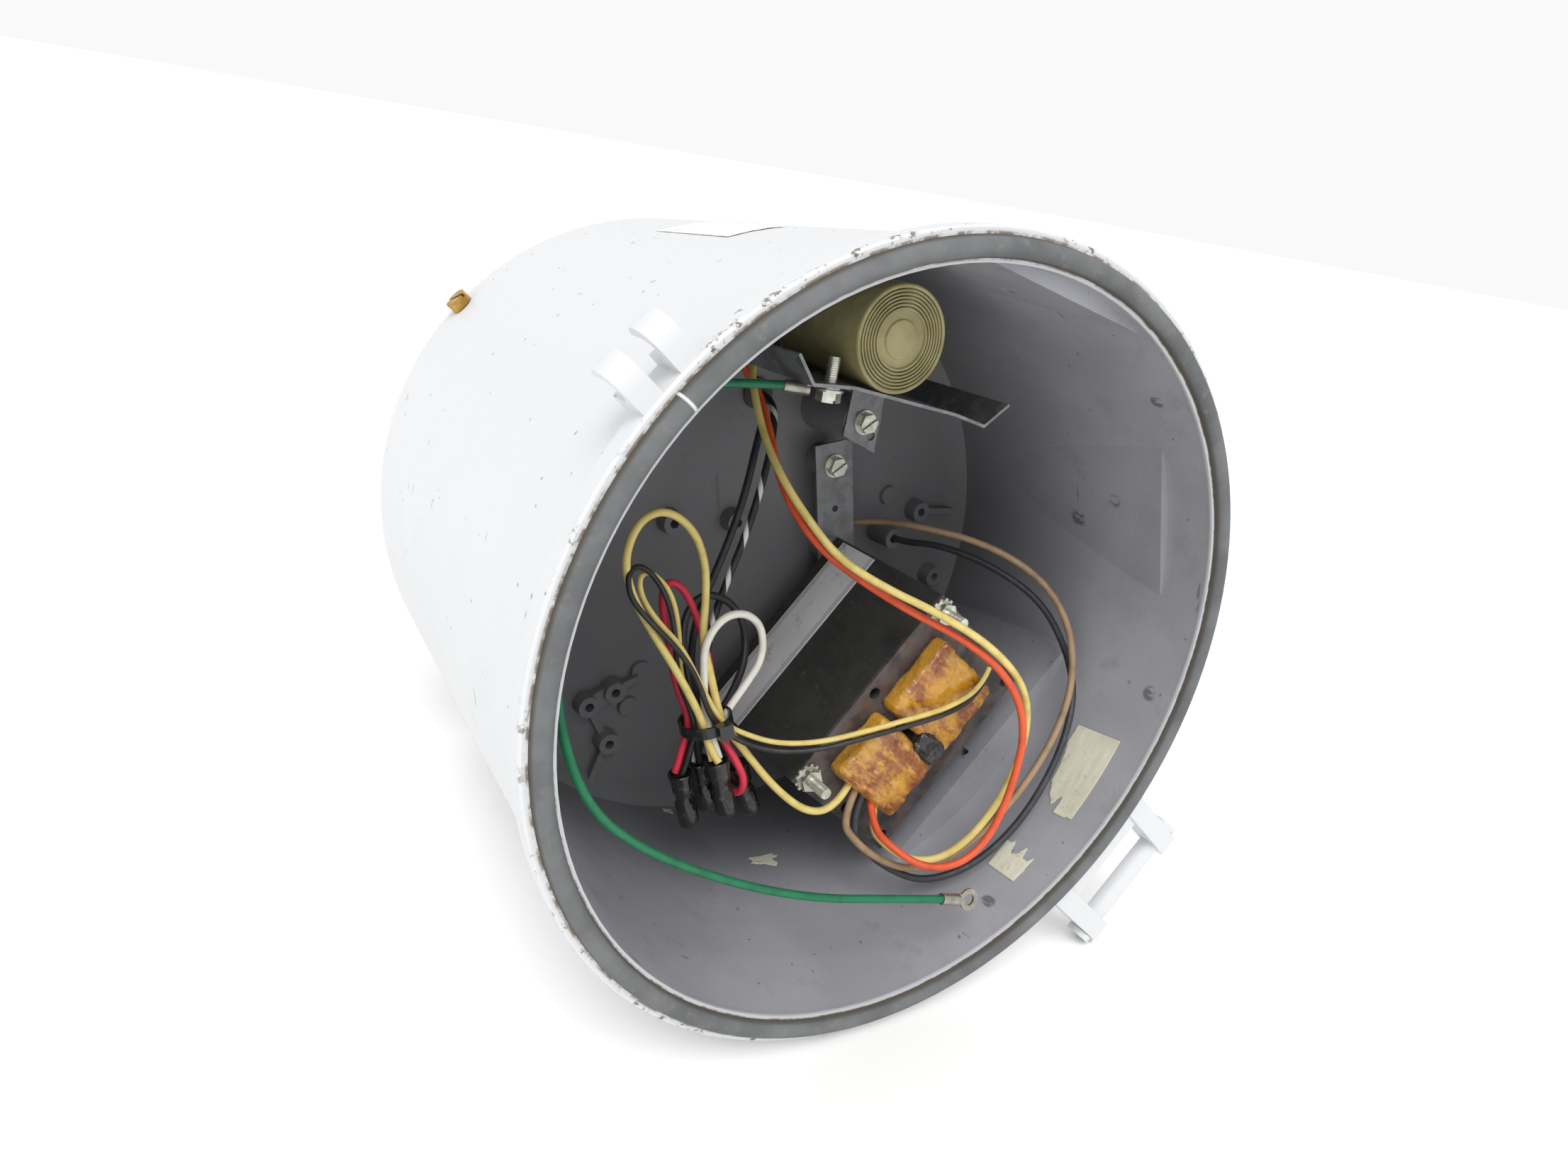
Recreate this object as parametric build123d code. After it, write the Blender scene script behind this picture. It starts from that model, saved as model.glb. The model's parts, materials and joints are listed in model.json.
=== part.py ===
from build123d import *
import os
from math import asin, atan, atan2, cos, degrees, hypot, radians, sin, tan

# Ballast housing of an enclosed industrial discharge-lamp luminaire, open at its mouth, with its gear inside.
# All millimetres. Everything is modelled in the housing's own frame: the axis is Z, the rim face is Z = 0,
# the mouth looks along +Z, X is to the right and Y is up. At the end the whole set is laid on its side on a
# table, where it rests on the rim, the rear shoulder and the lower latch ear.

# ---- driving dimensions: casting ----
RIM_R = 150.0            # outer radius of the rim flange
RIM_T = 8.0              # flange thickness
LIP_R = 139.0            # inner radius of the thin lip inside the gasket groove
LIP_T = 1.3
GASKET_W = 7.0           # groove and gasket width
GROOVE_DEPTH = 4.0
GASKET_PROUD = 4.0       # how far the gasket's crown stands above the rim face
BODY_FRONT_R = 146.0     # outside radius just behind the flange
BODY_REAR_R = 136.0      # outside radius at the rear shoulder
DEPTH = 252.0
SHOULDER_R = 12.0
WALL_SLOPE = 0.045       # draft of the inner wall
FLOOR_Z = -151.0         # upper face of the partition floor
FLOOR_T = 5.0
SKIRT_WALL = 5.5         # wall of the lamp chamber behind the floor
SEAT_R = 112.0           # opening in the rear face, where the globe adapter seats
LIP_REAR_T = 6.0

# ---- flat lands cast on the inner wall: angle, distance from the axis, lower and upper Z, lean ----
LATCH_LAND_FLAT = 119.0
LATCH_LAND_R = 137.0
LATCH_LAND_TOP_Z = -60.0
UPPER_LAND = (65, 135.4, -86, -6, -1.3)
RIGHT_LAND = (8, 133.8, -115, -21)

# ---- latch and hinge, opposite each other on the rim ----
LATCH_ANGLE = -52.0
HINGE_ANGLE = 128.0
EAR_TIP_R = 196.0
EAR_IN = 20.5            # inner and outer faces of the ears, measured along the rod
EAR_OUT = 30.0
ROD_R = 4.5
ROD_CENTRE_R = 187.0
ROD_Z = -6.0
ROD_CLEAR = 0.05
LATCH_T = 12.0           # thickness of the ears along the housing's axis
LATCH_BASE_R = 159.0
HOOK_W = 8.0
HOOK_AXIS_R = 157.0      # centre of the hinge pin that the hooks drop over
HOOK_Z = -9.0
THROAT_R = 4.1
HOOK_AT = (6.5, -8.5)    # the two hooks, measured along the rim's tangent

# ---- ballast: laminated core with two coils, standing on four bosses ----
CORE_L = 99.0
CORE_S = 70.0
CORE_FRONT_Z = -58.5
CORE_BACK_Z = -137.5
CORE_CORNER = (49.0, -4.6)
CORE_ANGLE = -140.8      # direction of the core's long side
PLATE_T = 1.5
COIL_PROUD = 9.5
COIL_S = (11.5, 53.0)
COIL_U = ((14.0, 49.0), (54.5, 84.0))
BOLT_INSET = 5.3
BOLT_R = 2.4
STRAP_W = 20.0
SHEET_T = 1.2

# ---- capacitor ----
CAN_R = 19.4
CAN_AT = (20.8, 106.2)
CAN_FRONT_Z = -50.0
CAN_BACK_Z = -130.0

# ---- lamp chamber ----
SET_SCREW_Z = -233.0
SET_SCREW_R = 2.9
SET_SCREW_ANGLES = (128.0, 308.0)

# ---- leads ----
LEAD_D = 3.2
FINE_D = 2.2

parts = {}


# ---------- small helpers ----------
def polar(radius, angle, z=0.0):
    return Vector(radius * cos(radians(angle)), radius * sin(radians(angle)), z)


def rod(radius, start, end):
    start = Vector(*start)
    end = Vector(*end)
    along = end - start
    plane = Plane(origin=start, z_dir=along)
    return plane * Cylinder(radius, along.length, align=(Align.CENTER, Align.CENTER, Align.MIN))


def upright(radius, x, y, low, high):
    return rod(radius, (x, y, low), (x, y, high))


def block(low, high):
    size = [b - a for a, b in zip(low, high)]
    return Pos(*low) * Box(*size, align=(Align.MIN, Align.MIN, Align.MIN))


def ring(outer, inner, low, high):
    return Pos(0, 0, low) * (Cylinder(outer, high - low, align=(Align.CENTER, Align.CENTER, Align.MIN))
                             - Cylinder(inner, high - low, align=(Align.CENTER, Align.CENTER, Align.MIN)))


def turned(points):
    """A solid of revolution about the housing's axis from its half outline, given as (radius, z)."""
    outline = Polyline(*[(r, 0, z) for r, z in points], close=True)
    return revolve(make_face(outline), Axis.Z)


def slab(points, low, high):
    """A flat piece with the given XY outline between two heights."""
    face = make_face(Polyline(*[(x, y, low) for x, y in points], close=True))
    return extrude(face, high - low, dir=(0, 0, 1))


def join(pieces):
    whole = pieces[0]
    for piece in pieces[1:]:
        whole = whole + piece
    return whole


def core_frame():
    """The ballast's own frame: X along the core's long side, Y across it, Z towards the mouth."""
    long_side = (cos(radians(CORE_ANGLE)), sin(radians(CORE_ANGLE)), 0)
    return Plane(origin=(*CORE_CORNER, 0), x_dir=long_side, z_dir=(0, 0, 1))


def core_point(u, s):
    a = radians(CORE_ANGLE)
    return (CORE_CORNER[0] + u * cos(a) - s * sin(a), CORE_CORNER[1] + u * sin(a) + s * cos(a))


# ---------- casting ----------
def shell():
    inner_floor_r = LIP_R + WALL_SLOPE * FLOOR_Z
    skirt_top_r = inner_floor_r + 0.5
    skirt_low_r = BODY_REAR_R - SKIRT_WALL
    groove_in = LIP_R + LIP_T
    groove_out = groove_in + GASKET_W
    shoulder = [(BODY_REAR_R - SHOULDER_R + SHOULDER_R * cos(radians(a)),
                 -DEPTH + SHOULDER_R - SHOULDER_R * sin(radians(a))) for a in range(0, 91, 15)]
    outline = [(0, FLOOR_Z), (inner_floor_r - 8, FLOOR_Z), (inner_floor_r, FLOOR_Z + 8), (LIP_R, -3), (LIP_R, 0),
               (groove_in, 0), (groove_in, -GROOVE_DEPTH), (groove_out, -GROOVE_DEPTH), (groove_out, 0),
               (RIM_R - 0.8, 0), (RIM_R, -0.8), (RIM_R, -RIM_T), (BODY_FRONT_R, -RIM_T - 3)]
    outline += shoulder
    outline += [(SEAT_R, -DEPTH), (SEAT_R, -DEPTH + LIP_REAR_T), (skirt_low_r - 6, -DEPTH + LIP_REAR_T),
                (skirt_low_r, -DEPTH + LIP_REAR_T + 6), (skirt_top_r, FLOOR_Z - FLOOR_T - 8),
                (skirt_top_r - 8, FLOOR_Z - FLOOR_T), (0, FLOOR_Z - FLOOR_T)]
    return turned(outline)


def wall_land(angle, distance, low, high, lean=0.0):
    """A flat land cast on the inner wall: what lies beyond a plane, rooted half-way into the lip."""
    span = Cylinder(LIP_R + LIP_T / 2, high - low, align=(Align.CENTER, Align.CENTER, Align.MIN))
    cutter = Rot(0, lean, 0) * Pos(distance, -100, 0) * Box(60, 200, 400, align=(Align.MIN, Align.MIN, Align.CENTER))
    return Rot(0, 0, angle) * Pos(0, 0, low) * (span & cutter)


def boss(x, y, height, radius, hole=0.0, hole_depth=10.0):
    post = Pos(x, y, FLOOR_Z - 1) * Cone(radius + 0.8, radius, height + 1, align=(Align.CENTER, Align.CENTER, Align.MIN))
    return post, hole and upright(hole, x, y, FLOOR_Z + height - hole_depth, FLOOR_Z + height + 1)


def rib(start, end, width, height):
    a = degrees(atan2(end[1] - start[1], end[0] - start[0]))
    length = hypot(end[0] - start[0], end[1] - start[1])
    bar = Box(length, width, height + 1, align=(Align.MIN, Align.CENTER, Align.MIN))
    return Pos(start[0], start[1], FLOOR_Z - 1) * Rot(0, 0, a) * bar


TAPPED = 2.1             # tapped hole for a number 10 machine screw
FREE_BOSSES = ((-31, 19), (0, 12), (-80, -57), (-67, -54), (-73, -79), (104, -7), (113, -45))
CORE_BOSS_H = CORE_BACK_Z - FLOOR_Z
TUBE_BOSS = (81, -13)
POST_AT = (50, 56)
POST_TOP = -117.2
WIRE_HOLE = (17, 67.5)
STRAP_TOP_AT = (48, 31)


def floor_bosses():
    solids = []
    holes = []
    for x, y in FREE_BOSSES:
        post, hole = boss(x, y, 7, 5, TAPPED, 9)
        solids.append(post)
        holes.append(hole)
    for u in (BOLT_INSET, CORE_L - BOLT_INSET):
        for s in (BOLT_INSET, CORE_S - BOLT_INSET):
            x, y = core_point(u, s)
            strapped = u < CORE_L / 2 and s < CORE_S / 2
            height = CORE_BOSS_H - (SHEET_T if strapped else 0)
            post, hole = boss(x, y, height, 6.5, BOLT_R, height - 2)
            solids.append(post)
            holes.append(hole)
    post, hole = boss(*STRAP_TOP_AT, CORE_BOSS_H - SHEET_T, 7, TAPPED, 9)
    solids.append(post)
    holes.append(hole)
    post, hole = boss(*POST_AT, POST_TOP - FLOOR_Z, 10, TAPPED, 12)
    solids.append(post)
    holes.append(hole)
    post, hole = boss(*TUBE_BOSS, 15, 5, 2.2, 14)
    solids.append(post)
    holes.append(hole)
    solids.append(rib((-80, -57), (-67, -54), 8, 5))
    solids.append(rib((-73, -79), (-84, -98), 3, 4))
    solids.append(rib((-67, -54), (-54, -52), 3, 4))
    solids.append(rib((-80, -57), (-73, -79), 3, 3))
    solids.append(rib((104, -7), (126, -12), 3, 5))
    solids.append(rib((113, -45), (121, -47), 3, 5))
    for x, y in ((-52, -50), (-60, -66), (88, 4), (-90, 30), (-40, 60)):
        solids.append(boss(x, y, 2, 4.5)[0])
    holes.append(upright(5, *WIRE_HOLE, FLOOR_Z - FLOOR_T - 20, FLOOR_Z + 1))
    return solids, holes


def latch_frame():
    """X points out of the rim through the latch, Y along the rod."""
    return Rot(0, 0, LATCH_ANGLE)


def latch_ears():
    half = LATCH_T / 2
    base = block((RIM_R - 8, -EAR_OUT, ROD_Z - half + 1), (LATCH_BASE_R, EAR_OUT, ROD_Z + half - 1))
    base = base + block((RIM_R - 9, -EAR_OUT + 6, ROD_Z - half - 10), (RIM_R - 1, EAR_OUT - 6, ROD_Z))
    ears = []
    for side in (-1, 1):
        low, high = sorted((side * EAR_IN, side * EAR_OUT))
        ear = block((RIM_R - 6, low, ROD_Z - half), (EAR_TIP_R - half, high, ROD_Z + half))
        nose = rod(half, (EAR_TIP_R - half, low, ROD_Z), (EAR_TIP_R - half, high, ROD_Z))
        ears.append(ear + nose)
    bore = rod(ROD_R + ROD_CLEAR, (ROD_CENTRE_R, -EAR_OUT - 1, ROD_Z), (ROD_CENTRE_R, EAR_OUT + 1, ROD_Z))
    solid = join([base] + ears)
    return latch_frame() * solid, latch_frame() * bore


def hinge_hooks():
    """Two open hooks that drop over the hinge pin of the mounting hood."""
    hooks = []
    for at in HOOK_AT:
        low = at - HOOK_W / 2
        high = at + HOOK_W / 2
        arm = block((RIM_R - 8, low, HOOK_Z - 8), (HOOK_AXIS_R, high, HOOK_Z + 8))
        nose = rod(8, (HOOK_AXIS_R, low, HOOK_Z), (HOOK_AXIS_R, high, HOOK_Z))
        throat = rod(THROAT_R, (HOOK_AXIS_R, low - 1, HOOK_Z), (HOOK_AXIS_R, high + 1, HOOK_Z))
        slot = block((HOOK_AXIS_R - THROAT_R, low - 1, HOOK_Z - 20), (HOOK_AXIS_R + THROAT_R, high + 1, HOOK_Z))
        hooks.append(arm + nose - throat - slot)
    web = block((RIM_R - 9, HOOK_AT[1] - HOOK_W / 2, -16), (RIM_R - 0.5, HOOK_AT[0] + HOOK_W / 2, -4))
    return Rot(0, 0, HINGE_ANGLE) * join([web] + hooks)


def set_screw_bosses():
    solids = []
    holes = []
    for angle in SET_SCREW_ANGLES:
        start = polar(BODY_REAR_R - SKIRT_WALL - 5, angle, SET_SCREW_Z)
        end = polar(BODY_REAR_R - 1, angle, SET_SCREW_Z)
        solids.append(rod(7, start, end))
        holes.append(rod(SET_SCREW_R + ROD_CLEAR, polar(100, angle, SET_SCREW_Z), polar(160, angle, SET_SCREW_Z)))
        spot_face = polar(BODY_REAR_R + 0.2, angle, SET_SCREW_Z)
        holes.append(rod(6, spot_face, polar(150, angle, SET_SCREW_Z)))
    return solids, holes


LAMPHOLDER_SCREW_AT = 21.0


def housing_casting():
    solids, holes = floor_bosses()
    ears, rod_bore = latch_ears()
    screw_solids, screw_holes = set_screw_bosses()
    latch_land = wall_land(LATCH_ANGLE, LATCH_LAND_FLAT, FLOOR_Z - 1, LATCH_LAND_TOP_Z)
    lands = [latch_land & Cylinder(LATCH_LAND_R, 2 * DEPTH), wall_land(*UPPER_LAND), wall_land(*RIGHT_LAND)]
    lamp_pads = [upright(6, side * LAMPHOLDER_SCREW_AT, 0, FLOOR_Z - FLOOR_T - 6, FLOOR_Z - 1) for side in (-1, 1)]
    body = join([shell()] + lands + solids + lamp_pads + screw_solids + [ears, hinge_hooks()])
    for side in (-1, 1):
        x = side * LAMPHOLDER_SCREW_AT
        holes.append(upright(TAPPED, x, 0, FLOOR_Z - FLOOR_T - 7, FLOOR_Z - 3))
    land_hole = polar(119, LATCH_ANGLE - 1, -68)
    holes.append(rod(2.6, land_hole, polar(131, LATCH_ANGLE - 1, -68)))
    holes.append(rod(3.0, polar(126, 62, -44), polar(139, 62, -44)))
    for hole in holes + screw_holes + [rod_bore]:
        body = body - hole
    # the groove runs on unbroken where the latch and the hooks are rooted
    return body - ring(LIP_R + LIP_T + GASKET_W, LIP_R + LIP_T, -GROOVE_DEPTH, 1)


def rim_gasket():
    inner = LIP_R + LIP_T
    middle = inner + GASKET_W / 2
    crown = [(middle + GASKET_W / 2 * cos(radians(a)), (GASKET_PROUD) * sin(radians(a))) for a in range(0, 181, 12)]
    return turned([(inner, -GROOVE_DEPTH), (inner + GASKET_W, -GROOVE_DEPTH)] + crown)


def latch_rod():
    frame = latch_frame()
    length = EAR_OUT + 3.0
    bar = rod(ROD_R, (ROD_CENTRE_R, -length, ROD_Z), (ROD_CENTRE_R, length, ROD_Z))
    heads = [rod(ROD_R + 1.0, (ROD_CENTRE_R, side * (EAR_OUT + 0.3), ROD_Z), (ROD_CENTRE_R, side * length, ROD_Z))
             for side in (-1, 1)]
    return frame * join([bar] + heads)


# ---------- ballast ----------
def core_laminations():
    frame = core_frame()
    body = block((0, 0, CORE_BACK_Z), (CORE_L, CORE_S, CORE_FRONT_Z - PLATE_T))
    for window in COIL_U:
        middle = sum(window) / 2
        half = (window[1] - window[0]) / 2 - 4
        body = body - block((middle - half, COIL_S[0] + 4, CORE_BACK_Z - 1),
                            (middle + half, COIL_S[1] - 4, CORE_FRONT_Z))
    for u, s in core_holes():
        body = body - upright(BOLT_R + 0.2, u, s, CORE_BACK_Z - 1, CORE_FRONT_Z)
    return frame * body


def core_holes():
    near = BOLT_INSET
    far_u = CORE_L - BOLT_INSET
    far_s = CORE_S - BOLT_INSET
    return [(near, near), (far_u, near), (near, far_s), (far_u, far_s), (CORE_L / 2, near), (far_u, CORE_S / 2)]


def core_end_plate():
    """The bare steel lamination at the front of the stack."""
    plate = block((0, 0, CORE_FRONT_Z - PLATE_T), (CORE_L, CORE_S, CORE_FRONT_Z))
    for window in COIL_U:
        middle = sum(window) / 2
        half = (window[1] - window[0]) / 2 - 4
        plate = plate - block((middle - half, COIL_S[0] + 4, CORE_FRONT_Z - 3),
                              (middle + half, COIL_S[1] - 4, CORE_FRONT_Z + 1))
    for u, s in core_holes():
        plate = plate - upright(BOLT_R + 0.2, u, s, CORE_FRONT_Z - 3, CORE_FRONT_Z + 1)
    return core_frame() * plate


def coil(window, low, high):
    """One end of a taped winding, where it stands out of the core."""
    body = block((window[0], COIL_S[0], low), (window[1], COIL_S[1], high))
    rounded = fillet(body.edges().filter_by(Axis.Z), 4)
    top = rounded.faces().sort_by(Axis.Z)[-1] if high > CORE_BACK_Z else rounded.faces().sort_by(Axis.Z)[0]
    return core_frame() * fillet(top.edges(), 2.5)


def coil_pair(window):
    middle = sum(window) / 2
    half = (window[1] - window[0]) / 2 - 4.2
    front = coil(window, CORE_FRONT_Z, CORE_FRONT_Z + COIL_PROUD)
    back = coil(window, CORE_BACK_Z - COIL_PROUD, CORE_BACK_Z)
    leg = core_frame() * block((middle - half, COIL_S[0] + 4.2, CORE_BACK_Z - 1),
                               (middle + half, COIL_S[1] - 4.2, CORE_FRONT_Z + 1))
    return join([front, back, leg])


def ballast_bolts():
    bolts = []
    for u in (BOLT_INSET, CORE_L - BOLT_INSET):
        bottom = CORE_BACK_Z - CORE_BOSS_H + 3.5
        bolts.append(upright(BOLT_R - 0.1, u, BOLT_INSET, bottom, CORE_FRONT_Z + 14.5))
    return [core_frame() * bolt for bolt in bolts]


def hexagon_nut(across_flats, thickness, bore):
    body = extrude(RegularPolygon(across_flats / 2, 6, major_radius=False), thickness)
    return body - Cylinder(bore, 3 * thickness)


def star_washer_nuts():
    """Nuts with a captive toothed washer, one on each ballast bolt."""
    nuts = []
    for u in (BOLT_INSET, CORE_L - BOLT_INSET):
        washer = Cylinder(5.3, 1.0, align=(Align.CENTER, Align.CENTER, Align.MIN))
        for tooth in range(12):
            washer = washer + Rot(0, 0, 30 * tooth) * block((4.6, -0.7, 0), (6.2, 0.7, 1.0))
        washer = washer - Cylinder(BOLT_R - 0.1, 10)
        nut = washer + Pos(0, 0, 1.0) * hexagon_nut(8.7, 3.4, BOLT_R - 0.1)
        nuts.append(core_frame() * Pos(u, BOLT_INSET, CORE_FRONT_Z) * nut)
    return nuts


def coil_splice():
    """The dark sealed joint block between the two windings."""
    low = CORE_FRONT_Z
    body = block((COIL_U[0][1] + 0.3, 33, low), (COIL_U[1][0] - 0.3, 50, low + COIL_PROUD + 2))
    return core_frame() * fillet(body.edges().group_by(Axis.Z)[-1], 1.2)


def ballast_label():
    return core_frame() * block((1, -0.4, -131), (97, 0, -106))


# ---------- brackets and their screws ----------
WEB_POINTS = ((-21, 107), (-16, 96), (1, 92), (47, 74), (61, 67), (73, 73))
BRACKET_FRONT_Z = -51.0
TAB_POINTS = ((45.5, 74.6), (61.2, 66.9), (55, 41), (39, 52))


def capacitor_bracket():
    """A bent sheet trough under the capacitor, with its rear tab turned down onto the cast post."""
    low = POST_TOP
    outline = offset(Polyline(*WEB_POINTS), SHEET_T / 2, side=Side.BOTH)
    web = extrude(make_face(outline), BRACKET_FRONT_Z - low)
    web = Pos(0, 0, low) * web
    tab = slab(TAB_POINTS, low, low + SHEET_T)
    tab = tab - upright(TAPPED + 0.3, *POST_AT, low - 1, low + 3) - upright(2.0, 53.5, 49.0, low - 1, low + 3)
    screw_plane = ground_screw_frame()
    hole = screw_plane * Cylinder(2.4, 12)
    return web + tab - hole


def ground_screw_frame():
    """Sits on the trough's web, Z square to the sheet and pointing at the capacitor's side."""
    middle = Vector(-5.5, 93.53, -57)
    return Plane(origin=middle, x_dir=(0, 0, 1), z_dir=(0.229, 0.973, 0))


def frame_along(origin, along, up):
    """A frame whose X follows a lead and whose Z is as near to up as that allows."""
    x_dir = Vector(*along).normalized()
    z_dir = Vector(*up) - x_dir * x_dir.dot(Vector(*up))
    return Plane(origin=origin, x_dir=x_dir, z_dir=z_dir)


def ground_screw():
    head = Pos(0, 0, -SHEET_T / 2 - 1.1 - 4.6) * extrude(RegularPolygon(4.0, 6, major_radius=False), 3.8)
    flange = Pos(0, 0, -SHEET_T / 2 - 1.1 - 0.9) * Cylinder(5.2, 0.9, align=(Align.CENTER, Align.CENTER, Align.MIN))
    slot = Pos(0, 0, -SHEET_T / 2 - 1.1 - 4.6) * Box(10, 1.1, 2.2)
    shank = Pos(0, 0, -3) * Cylinder(2.2, 12.5, align=(Align.CENTER, Align.CENTER, Align.MIN))
    return ground_screw_frame() * (head + flange + shank - slot)


BARREL_END = 16.0
BARREL_RISE = 2.3


def ring_terminal():
    """A crimp ring terminal: flat ring at the origin, barrel leaving along +X."""
    flat = Cylinder(4.4, 1.0, align=(Align.CENTER, Align.CENTER, Align.MIN))
    flat = flat + Pos(3.2, -1.9, 0) * Box(5.0, 3.8, 1.0, align=(Align.MIN, Align.MIN, Align.MIN))
    barrel = rod(2.3, (7, 0, BARREL_RISE), (BARREL_END, 0, BARREL_RISE))
    return flat + barrel - Cylinder(2.4, 10)


def ground_terminal_frame():
    """The upper terminal lies against the trough's underside and points away to the left."""
    seat = Vector(-5.5, 93.53, -57) - Vector(0.229, 0.973, 0) * (SHEET_T / 2)
    return frame_along(seat, (-0.882, 0.2076, -0.4226), (-0.229, -0.973, 0))


FREE_RING_AT = (22.5, -114.5, -6.0)
FREE_RING_DIR = (-0.9, 0.42, -0.1)


def free_terminal_frame():
    """The lower terminal, on the lead's free end."""
    return frame_along(FREE_RING_AT, FREE_RING_DIR, (0.1, 0.3, 1))


def barrel_mouth(frame):
    return frame.from_local_coords(Vector(BARREL_END, 0, BARREL_RISE))


def ballast_strap():
    """A flat strap from its own boss to under the first ballast bolt."""
    bolt_x, bolt_y = core_point(BOLT_INSET, BOLT_INSET)
    low = CORE_BACK_Z - SHEET_T
    strap = block((bolt_x - STRAP_W / 2, bolt_y - 8, low), (bolt_x + STRAP_W / 2, STRAP_TOP_AT[1] + 11, CORE_BACK_Z))
    strap = strap - upright(BOLT_R + 0.2, bolt_x, bolt_y, low - 1, CORE_BACK_Z + 1)
    strap = strap - upright(2.4, *STRAP_TOP_AT, low - 1, CORE_BACK_Z + 1)
    return strap - upright(1.6, STRAP_TOP_AT[0], 10, low - 1, CORE_BACK_Z + 1)


def hex_screw(x, y, seat, length):
    """A slotted hexagon washer-head screw standing on its seat, shank downwards."""
    head = Pos(x, y, seat + 0.9) * extrude(RegularPolygon(3.9, 6, major_radius=False), 3.6)
    flange = upright(5.4, x, y, seat, seat + 0.9)
    shank = upright(TAPPED, x, y, seat - length, seat + 1)
    return head + flange + shank - Pos(x, y, seat + 4.5) * Rot(0, 0, 25) * Box(10, 1.1, 2.0)


# ---------- capacitor ----------
def capacitor_can():
    can = upright(CAN_R, *CAN_AT, CAN_BACK_Z, CAN_FRONT_Z - 1.5)
    steps = 6
    for step in range(steps):
        radius = CAN_R - 0.8 - step * 1.7
        crest = CAN_FRONT_Z - 1.5 + 0.3 * (step % 2) + 0.25 * step
        can = can + upright(radius, *CAN_AT, CAN_FRONT_Z - 2, crest)
    can = can - upright(CAN_R - 11.2, *CAN_AT, CAN_FRONT_Z - 1.0, CAN_FRONT_Z + 2)
    return can


def capacitor_lid():
    lid = upright(CAN_R - 1.2, *CAN_AT, CAN_BACK_Z - 2.5, CAN_BACK_Z)
    return lid


TERMINAL_AT = ((14.0, 100.0), (22.0, 97.0))


def capacitor_terminals():
    return [block((x - 3, y - 0.4, CAN_BACK_Z - 10.5), (x + 3, y + 0.4, CAN_BACK_Z - 2.5)) for x, y in TERMINAL_AT]


def flag_terminals():
    """Right-angle push-on sleeves over the capacitor's two blades."""
    sleeves = []
    for x, y in TERMINAL_AT:
        sleeve = block((x - 4.2, y - 1.9, CAN_BACK_Z - 11.5), (x + 4.2, y + 1.9, CAN_BACK_Z - 3.5))
        sleeve = sleeve - block((x - 3, y - 0.4, CAN_BACK_Z - 10.5), (x + 3, y + 0.4, CAN_BACK_Z - 2.5))
        sleeves.append(sleeve)
    return sleeves


def capacitor_band():
    """A thin steel band round the can, cut away where the can rests in the trough."""
    low = -113.0
    high = -103.0
    band = Pos(*CAN_AT, 0) * ring(CAN_R + 1.0, CAN_R, low, high)
    trough = slab(((-30, 80), (-30, 105.5), (1, 93.4), (47, 75.4), (75, 64.4), (60, 40)), low - 1, high + 1)
    return band - trough


# ---------- bundle ----------
TIE_AT = (-56.0, -37.0, -75.0)
BUNDLE_DIR = (0.05, -0.99, 0.1)
CONNECTORS = (((-57, -50, -66), (-56, -74, -62)), ((-69, -56, -75), (-68, -81, -73)),
              ((-45, -60, -73), (-41, -84, -70)), ((-57, -60, -84), (-55, -84, -83)))
CONNECTOR_R = 5.0


def cable_tie():
    plane = Plane(origin=TIE_AT, x_dir=(1, 0, 0), z_dir=BUNDLE_DIR)
    band = Cylinder(10.9, 4.6) - Cylinder(9.9, 6)
    head = Pos(2, 12.6, 0) * Box(6, 4.4, 6)
    return plane * (band + head)


def wire_connector(start, end):
    """A closed-end crimp connector: a capped plastic sleeve, its open skirt up."""
    start = Vector(*start)
    end = Vector(*end)
    body = rod(CONNECTOR_R, start, end)
    tip = body.faces().sort_by(Axis.Y)[0]
    return fillet(tip.edges(), 2.0)


# ---------- lamp chamber ----------
HOLDER_TOP = FLOOR_Z - FLOOR_T - 6.0
HOLDER_R = 29.0
HOLDER_H = 58.0
SHELL_R = 20.2


def lampholder_body():
    """Porcelain screw-base lampholder hanging below the floor, open to the rear."""
    low = HOLDER_TOP - HOLDER_H
    body = upright(HOLDER_R, 0, 0, low, HOLDER_TOP)
    body = body - upright(SHELL_R + 1.3, 0, 0, low - 1, HOLDER_TOP - 14)
    for side in (-1, 1):
        x = side * LAMPHOLDER_SCREW_AT
        body = body - upright(2.5, x, 0, low - 1, HOLDER_TOP + 1)
        body = body - upright(5.0, x, 0, low - 1, HOLDER_TOP - 8)
    body = body - block((-6, 12, HOLDER_TOP - 8), (6, 40, HOLDER_TOP + 1))
    body = body - block((-6, -40, HOLDER_TOP - 8), (6, -12, HOLDER_TOP + 1))
    return body


def lamp_screw_shell():
    """Rolled screw shell: a thin tube with rounded thread crests."""
    top = HOLDER_TOP - 16
    bottom = HOLDER_TOP - HOLDER_H + 6
    pitch = 6.4
    outline_out = []
    outline_in = []
    turns = int((top - bottom) / pitch)
    for step in range(2 * turns + 1):
        z = top - step * pitch / 2
        radius = SHELL_R if step % 2 else SHELL_R - 1.6
        outline_out.append((radius, z))
        outline_in.append((radius - 0.7, z))
    return turned(outline_out + outline_in[::-1])


def lamp_contact():
    return upright(6, 0, 0, HOLDER_TOP - 17, HOLDER_TOP - 14.3)


def lampholder_screws():
    screws = []
    for side in (-1, 1):
        x = side * LAMPHOLDER_SCREW_AT
        seat = HOLDER_TOP - 8
        shank = upright(TAPPED, x, 0, seat - 1, HOLDER_TOP + 8)
        screws.append(shank + upright(4.0, x, 0, seat - 3, seat))
    return screws


def lampholder_terminals():
    return [block((-4, side * 15 - 3, HOLDER_TOP - 8), (4, side * 15 + 3, HOLDER_TOP - 4)) for side in (-1, 1)]


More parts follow.
